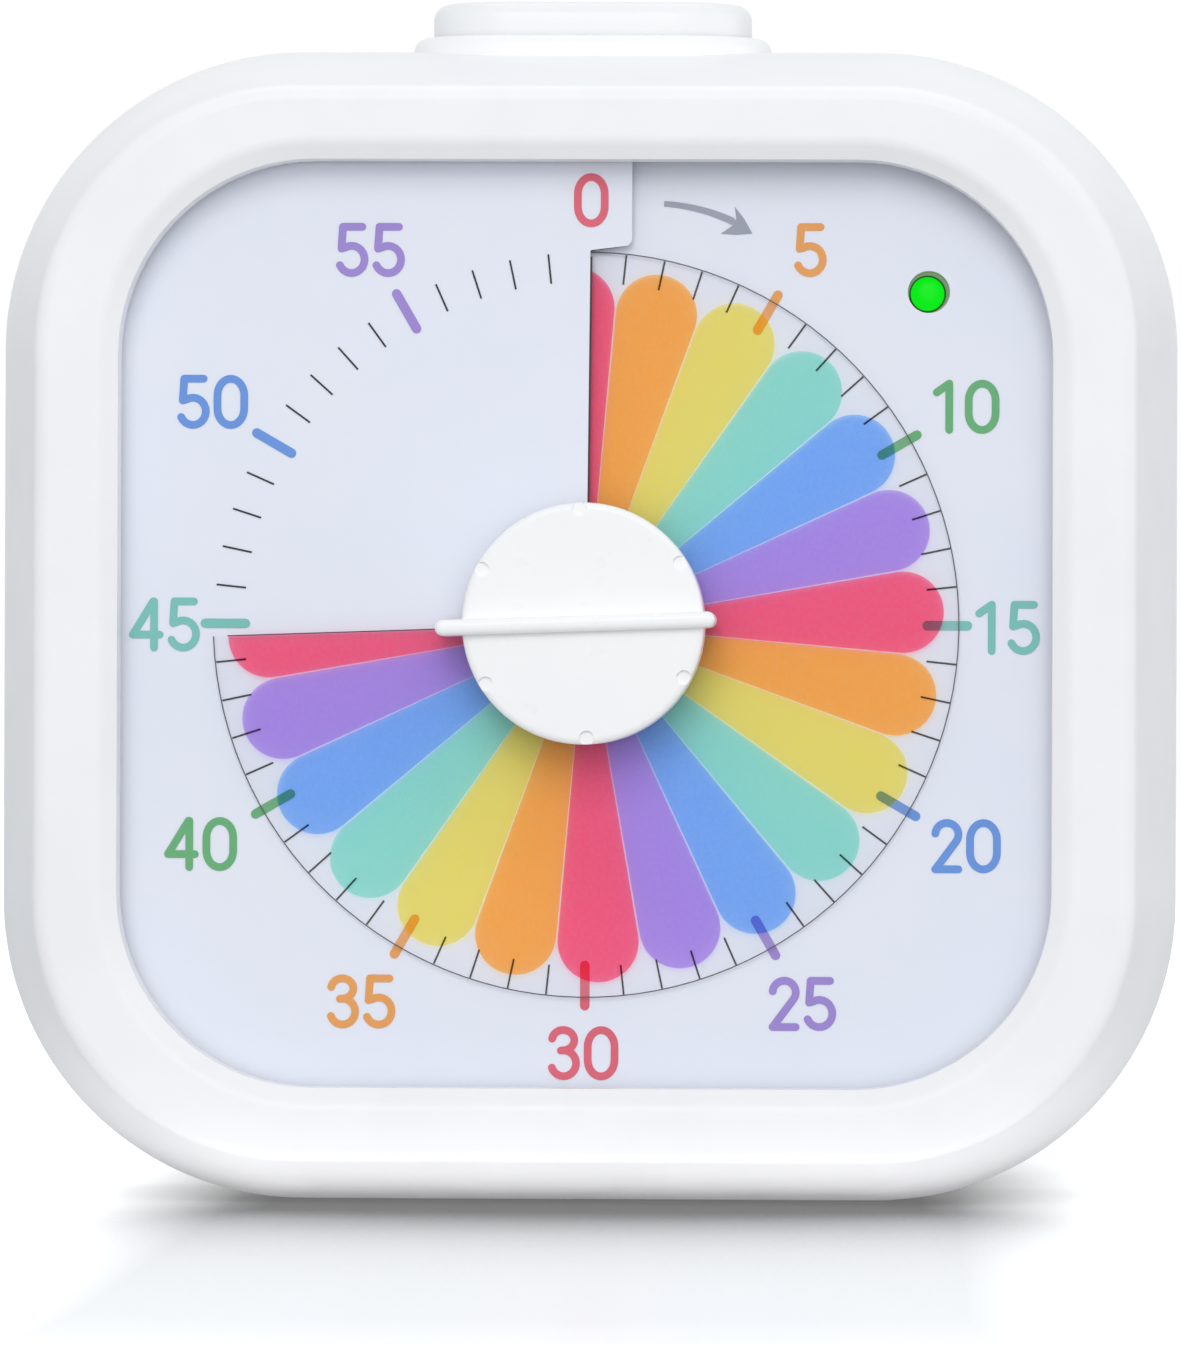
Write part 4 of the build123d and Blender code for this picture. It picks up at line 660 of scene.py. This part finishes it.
def arrow_outlines():
    """A shaft that widens along its bend, and a swept head with pulled-in flanks."""
    tail, bend, neck, tip = (Vector(p) for p in (ARROW_TAIL, ARROW_BEND, ARROW_NECK, ARROW_TIP))
    upper, lower = [], []
    for k in range(ARROW_STEPS + 1):
        t = k / ARROW_STEPS
        point = tail * (1 - t) ** 2 + bend * 2 * t * (1 - t) + neck * t**2
        along = ((bend - tail) * (1 - t) + (neck - bend) * t).normalized()
        width = ARROW_THIN + (ARROW_THICK - ARROW_THIN) * t
        half = Vector((-along.y, along.x)) * width / 2
        upper.append(point + half)
        lower.append(point - half)
    along = (tip - neck).normalized()
    across = Vector((-along.y, along.x))
    top, bottom = (Vector(p) for p in ARROW_BARBS)
    head = [
        neck + across * ARROW_THICK / 2 + along * ARROW_BULGE,
        top,
        (top + tip) / 2 + across * ARROW_BULGE,
        tip,
        (bottom + tip) / 2 - across * ARROW_BULGE,
        bottom,
        neck - across * ARROW_THICK / 2 + along * ARROW_BULGE,
        neck - along * ARROW_BULGE,
    ]
    centre = Vector((DIAL_X, DIAL_Z))
    return [[centre + p * MM for p in outline] for outline in (upper + lower[::-1], head)]


printed(
    "turn_arrow",
    [(arrow_outlines(), ARROW_ANGLE)],
    card_y,
    "case",
    "card_sheet",
    ink("ink_grey", INK_GREY),
)

# Painted shadow: a dark strip along the card's slit and under the tab, where the gap below the
# card's cut edge lies in shade; its sizes are in mm
SLIT_ANGLE = 360.5
SLIT_SHADOW_WIDTH = 0.14 * MM
TAB_WIDTH = 3.4
TAB_RADIUS = 28.4
TAB_RISE = 0.35
TAB_CORNER = 0.5
TAB_CORNER_STEPS = 8
TAB_SHADOW_REACH = 0.3              # reach of the painted shadow under the tab
TAB_SHADOW_SHARE = 0.7        # how much of that it has at the tab's inner corner
TAB_SHADOW_END = 0.02         # its thickness at the far end
SHADOW_STRIP_SUNK = 0.02 * MM


def slit_edge_outlines():
    """Painted shadow: a strip down the slit, and one that thins out along the tab's lower edge."""
    foot = at_angle(SLIT_ANGLE, CARD_BORE)
    top = at_angle(SLIT_ANGLE, (TAB_RADIUS - TAB_CORNER) * MM)
    side = Vector((1, 0)) * SLIT_SHADOW_WIDTH
    edge = []
    for k in range(TAB_CORNER_STEPS + 1):
        turn = math.radians(180 - 90 * k / TAB_CORNER_STEPS)
        edge.append(Vector((
            TAB_CORNER + TAB_CORNER * math.cos(turn),
            TAB_RADIUS - TAB_CORNER + TAB_CORNER * math.sin(turn),
        )))
    rise = TAB_RISE * (1 - TAB_CORNER / TAB_WIDTH)
    edge.append(Vector((TAB_WIDTH - TAB_CORNER, TAB_RADIUS + rise)))
    below = [
        p + Vector((TAB_SHADOW_REACH, -TAB_SHADOW_REACH)) * TAB_SHADOW_SHARE * (1 - k / len(edge))
        for k, p in enumerate(edge[:-1])
    ]
    below.append(edge[-1] - Vector((0, TAB_SHADOW_END)))
    centre = Vector((DIAL_X, DIAL_Z))
    shade = [centre + p * MM for p in edge + below[::-1]]
    return [[foot, top, top + side, foot + side], shade]


# Painted shade of the gap under the card's cut edge, sunk just below the card's front
printed(
    "slit_shadow_strip",
    [(slit_edge_outlines(), 360)],
    card_y,
    "case",
    "card_sheet",
    ink("painted_slit_shadow", SLIT_SHADOW_PAINT),
    lifts=(-SHADOW_STRIP_SUNK, -CARD_THICK),
)

# ---------------------------------------------------------------- print on the film

petals = {tone: [] for tone in PETAL_ORDER}
for number in range(PETAL_COUNT):
    middle = PETAL_FIRST + PETAL_STEP * number
    outline = petal_outline(middle)
    if number == 0:
        outline = keep_side(outline, SET_ANGLE - 360, 1)
    if number == PETAL_COUNT - 1:
        outline = keep_side(outline, SET_ANGLE, -1)
    petals[PETAL_ORDER[number % len(PETAL_ORDER)]].append(([outline], middle))
for tone, groups in petals.items():
    material = ink_film(f"petal_{tone}", PETALS[tone])
    printed(f"petals_{tone}", groups, film_y, "film", "film_clear", material)

# The film's edge shows as a fine line, and so does its cut end
EDGE_PARTS = 12
EDGE_STEPS = 10
CUT_START = 8.6 * MM
CUT_END = 27.2 * MM


def edge_arc(start, end):
    """Outline of one stretch of the film's edge line."""
    angles = [start + (end - start) * k / EDGE_STEPS for k in range(EDGE_STEPS + 1)]
    outer = [at_angle(a, FILM_RADIUS) for a in angles]
    inner = [at_angle(a, FILM_RADIUS - EDGE_LINE_WIDTH) for a in angles]
    return outer + inner[::-1]


edge_groups = []
for number in range(EDGE_PARTS):
    start, end = (SET_ANGLE - 360 + 360 * (number + k) / EDGE_PARTS for k in (0, 1))
    edge_groups.append(([edge_arc(start, end)], (start + end) / 2))
cut = bar(at_angle(SET_ANGLE, CUT_START), at_angle(SET_ANGLE, CUT_END), EDGE_LINE_WIDTH)
edge_groups.append(([cut], SET_ANGLE))
edge_ink = ink("edge_grey", EDGE_GREY)
printed("film_edge_line", edge_groups, film_y, "film", "film_clear", edge_ink)

# ---------------------------------------------------------------- stage, lights and camera

CAMERA_AWAY = 800 * MM       # from the bezel's plane
PIXEL = 0.0753 * MM          # across one pixel of the picture, on that plane
PICTURE_WIDTH = 1181
PICTURE_HEIGHT = 1345
SENSOR = 36.0
CENTRE_PIXEL_X = 583.5       # where the middle of the bezel stands in the picture
CENTRE_PIXEL_Y = 623.8
FROM_RIGHT = 1.7             # degrees that the camera stands round to the right
FROM_BELOW = 0.3             # and lower than the dial
ROLL = 0.2                   # degrees that the camera leans anticlockwise
FLOOR_SIZE = 4.0             # half its width, in metres
FLOOR_DROP = 0.02 * MM
FLOOR_ALBEDO = 0.97
FLOOR_SENT = 0.5            # tone of the floor in the light that it sends up to the timer
FLOOR_MIRROR = 0.14
FLOOR_ROUGH = 0.16

# Light that the floor gives to the timer: UNDER_BOUNCE below it, FLOOR_BOUNCE just before it,
# and none farther out
UNDER_BOUNCE = 0.3
FLOOR_BOUNCE = 0.88
BOUNCE_UNDER = 8 * MM        # forward of the middle, where the bounce starts to rise
BOUNCE_FRONT = 18 * MM       # where it is full
BOUNCE_NEAR = 21 * MM        # where it starts to fall
BOUNCE_FAR = 26 * MM
ROUND_NEAR = 45 * MM         # and it ends all round between these radii
ROUND_FAR = 65 * MM

SHADOW_REACH = 600 * MM      # the contact shadow, by how much of the floor's sky is covered
SHADOW_CORE = 0.6
SHADOW_EDGE = 0.966
SHADOW_TONE = 0.06
SHADOW_SHIFT = 0.8 * MM      # to the right of the timer's middle
SIDE_NEAR = 24.7 * MM        # the shadow fades out to both sides between these
SIDE_FAR = 42.7 * MM
SIDE_GLOW = 0.7
NEAR_GLOW = 0.105            # lift of the floor towards white, near the timer and far from it
FAR_GLOW = 0.7
GLOW_NEAR = 170 * MM
GLOW_FAR = 420 * MM


def grey(tone):
    """Plain grey of this scene-linear tone."""
    return (tone, tone, tone, 1)


def stage_floor():
    """Pale glossy floor that reads as white away from the timer's shadow."""
    mesh = bmesh.new()
    bmesh.ops.create_grid(mesh, x_segments=2, y_segments=2, size=FLOOR_SIZE)
    data = bpy.data.meshes.new("stage_floor")
    mesh.to_mesh(data)
    mesh.free()
    floor = bpy.data.objects.new("stage_floor", data)
    floor.location.z = -FLOOR_DROP
    bpy.context.scene.collection.objects.link(floor)
    material, nodes, links, output = new_material("stage_floor")
    path = nodes.new("ShaderNodeLightPath")
    place = nodes.new("ShaderNodeTexCoord")
    parts = nodes.new("ShaderNodeSeparateXYZ")
    links.new(place.outputs["Object"], parts.inputs["Vector"])
    length = nodes.new("ShaderNodeVectorMath")
    length.operation = "LENGTH"
    links.new(place.outputs["Object"], length.inputs[0])
    radius, forward = length.outputs["Value"], parts.outputs["Y"]
    shifted = maths(nodes, links, "SUBTRACT", parts.outputs["X"], SHADOW_SHIFT)
    sideways = maths(nodes, links, "ABSOLUTE", shifted, 0)

    # Tone of the floor: dark where the timer covers its sky, except at the sides
    shade = nodes.new("ShaderNodeAmbientOcclusion")
    shade.inputs["Distance"].default_value = SHADOW_REACH
    open_share = ramp(nodes, links, shade.outputs["AO"], SHADOW_CORE, SHADOW_EDGE, 0, 1)
    side = ramp(nodes, links, sideways, SIDE_NEAR, SIDE_FAR, 0, 1)
    lighter = maths(nodes, links, "MAXIMUM", open_share, side)
    tone = blend(nodes, links, lighter, grey(SHADOW_TONE), grey(FLOOR_ALBEDO))
    sent = blend(nodes, links, path.outputs["Is Diffuse Ray"], tone, grey(FLOOR_SENT))
    diffuse = nodes.new("ShaderNodeBsdfDiffuse")
    links.new(sent, diffuse.inputs["Color"])
    gloss = nodes.new("ShaderNodeBsdfGlossy")
    gloss.inputs["Roughness"].default_value = FLOOR_ROUGH
    mix = nodes.new("ShaderNodeMixShader")
    mix.inputs["Fac"].default_value = FLOOR_MIRROR
    links.new(diffuse.outputs["BSDF"], mix.inputs[1])
    links.new(gloss.outputs["BSDF"], mix.inputs[2])

    # Lift towards white that the camera sees
    spread = ramp(nodes, links, radius, GLOW_NEAR, GLOW_FAR, NEAR_GLOW, FAR_GLOW)
    beside = ramp(nodes, links, sideways, SIDE_NEAR, SIDE_FAR, 0, SIDE_GLOW)
    lift = maths(nodes, links, "MAXIMUM", spread, beside)
    seen = maths(nodes, links, "MULTIPLY", path.outputs["Is Camera Ray"], lift)

    # Light that the timer's underside and lower edge get
    rise = ramp(nodes, links, forward, -BOUNCE_FRONT, -BOUNCE_UNDER, FLOOR_BOUNCE, UNDER_BOUNCE)
    fall = ramp(nodes, links, forward, -BOUNCE_FAR, -BOUNCE_NEAR, 0, 1)
    around = ramp(nodes, links, radius, ROUND_NEAR, ROUND_FAR, 1, 0)
    strip = maths(nodes, links, "MULTIPLY", rise, fall)
    under = maths(nodes, links, "MULTIPLY", strip, around)
    bounce = maths(nodes, links, "MULTIPLY", path.outputs["Is Diffuse Ray"], under)

    glow = nodes.new("ShaderNodeEmission")
    links.new(maths(nodes, links, "ADD", seen, bounce), glow.inputs["Strength"])
    total = nodes.new("ShaderNodeAddShader")
    links.new(mix.outputs["Shader"], total.inputs[0])
    links.new(glow.outputs["Emission"], total.inputs[1])
    links.new(total.outputs["Shader"], output.inputs["Surface"])
    data.materials.append(material)


def stage_world():
    """Soft grey surroundings; the camera, mirrors and clear pieces see them as white."""
    world = bpy.data.worlds.new("studio")
    bpy.context.scene.world = world
    world.use_nodes = True
    nodes, links = world.node_tree.nodes, world.node_tree.links
    nodes.clear()
    output = nodes.new("ShaderNodeOutputWorld")
    seen = nodes.new("ShaderNodeBackground")
    seen.inputs["Color"].default_value = grey(1)
    lit = nodes.new("ShaderNodeBackground")
    lit.inputs["Color"].default_value = AMBIENT_COLOUR
    lit.inputs["Strength"].default_value = AMBIENT
    path = nodes.new("ShaderNodeLightPath")
    either = maths(
        nodes, links, "MAXIMUM", path.outputs["Is Camera Ray"], path.outputs["Is Glossy Ray"]
    )
    any_seen = maths(nodes, links, "MAXIMUM", either, path.outputs["Is Transmission Ray"])
    mix = nodes.new("ShaderNodeMixShader")
    links.new(any_seen, mix.inputs["Fac"])
    links.new(lit.outputs["Background"], mix.inputs[1])
    links.new(seen.outputs["Background"], mix.inputs[2])
    links.new(mix.outputs["Shader"], output.inputs["Surface"])


def lamp_panel(name, place, size, power, mirrored=True):
    """Soft square light that faces the middle of the timer, in metres and watts."""
    light = bpy.data.lights.new(name, "AREA")
    light.size = size
    light.color = LAMP_COLOUR
    light.energy = power
    thing = bpy.data.objects.new(name, light)
    thing.location = place
    thing.visible_glossy = mirrored
    aim = Vector((DIAL_X, 0, DIAL_Z)) - Vector(place)
    thing.rotation_euler = aim.to_track_quat("-Z", "Y").to_euler()
    bpy.context.scene.collection.objects.link(thing)


AMBIENT = 0.66
AMBIENT_COLOUR = (0.885, 0.945, 1.0, 1)
LAMP_COLOUR = (1.0, 0.965, 0.94)
stage_floor()
stage_world()
lamp_panel("key_light", (-0.03, -1.1, 0.49), 0.5, 3.5)
lamp_panel("fill_light", (0.0, -1.3, 0.05), 0.9, 5.0, mirrored=False)
lamp_panel("right_light", (1.2, -0.1, 0.2), 0.6, 2.2)
lamp_panel("left_light", (-1.2, -0.1, 0.2), 0.6, 0.4)
lamp_panel("top_light", (0.0, 0.25, 1.2), 0.7, 2.0)

camera = bpy.data.cameras.new("camera")
camera.sensor_fit = "HORIZONTAL"
camera.sensor_width = SENSOR
camera.lens = SENSOR * CAMERA_AWAY / (PICTURE_WIDTH * PIXEL)
camera_object = bpy.data.objects.new("camera", camera)
right, below = math.radians(FROM_RIGHT), math.radians(FROM_BELOW)
level = math.cos(below)
away = Vector((math.sin(right) * level, -math.cos(right) * level, -math.sin(below)))
aim = Vector((
    DIAL_X + (PICTURE_WIDTH / 2 - CENTRE_PIXEL_X) * PIXEL,
    case_low.y,
    DIAL_Z - (PICTURE_HEIGHT / 2 - CENTRE_PIXEL_Y) * PIXEL,
))
camera_object.location = aim + away * CAMERA_AWAY
camera_object.rotation_euler = (math.pi / 2 + below, -math.radians(ROLL), right)
bpy.context.scene.collection.objects.link(camera_object)
bpy.context.scene.camera = camera_object

bpy.context.scene.view_settings.view_transform = "Standard"
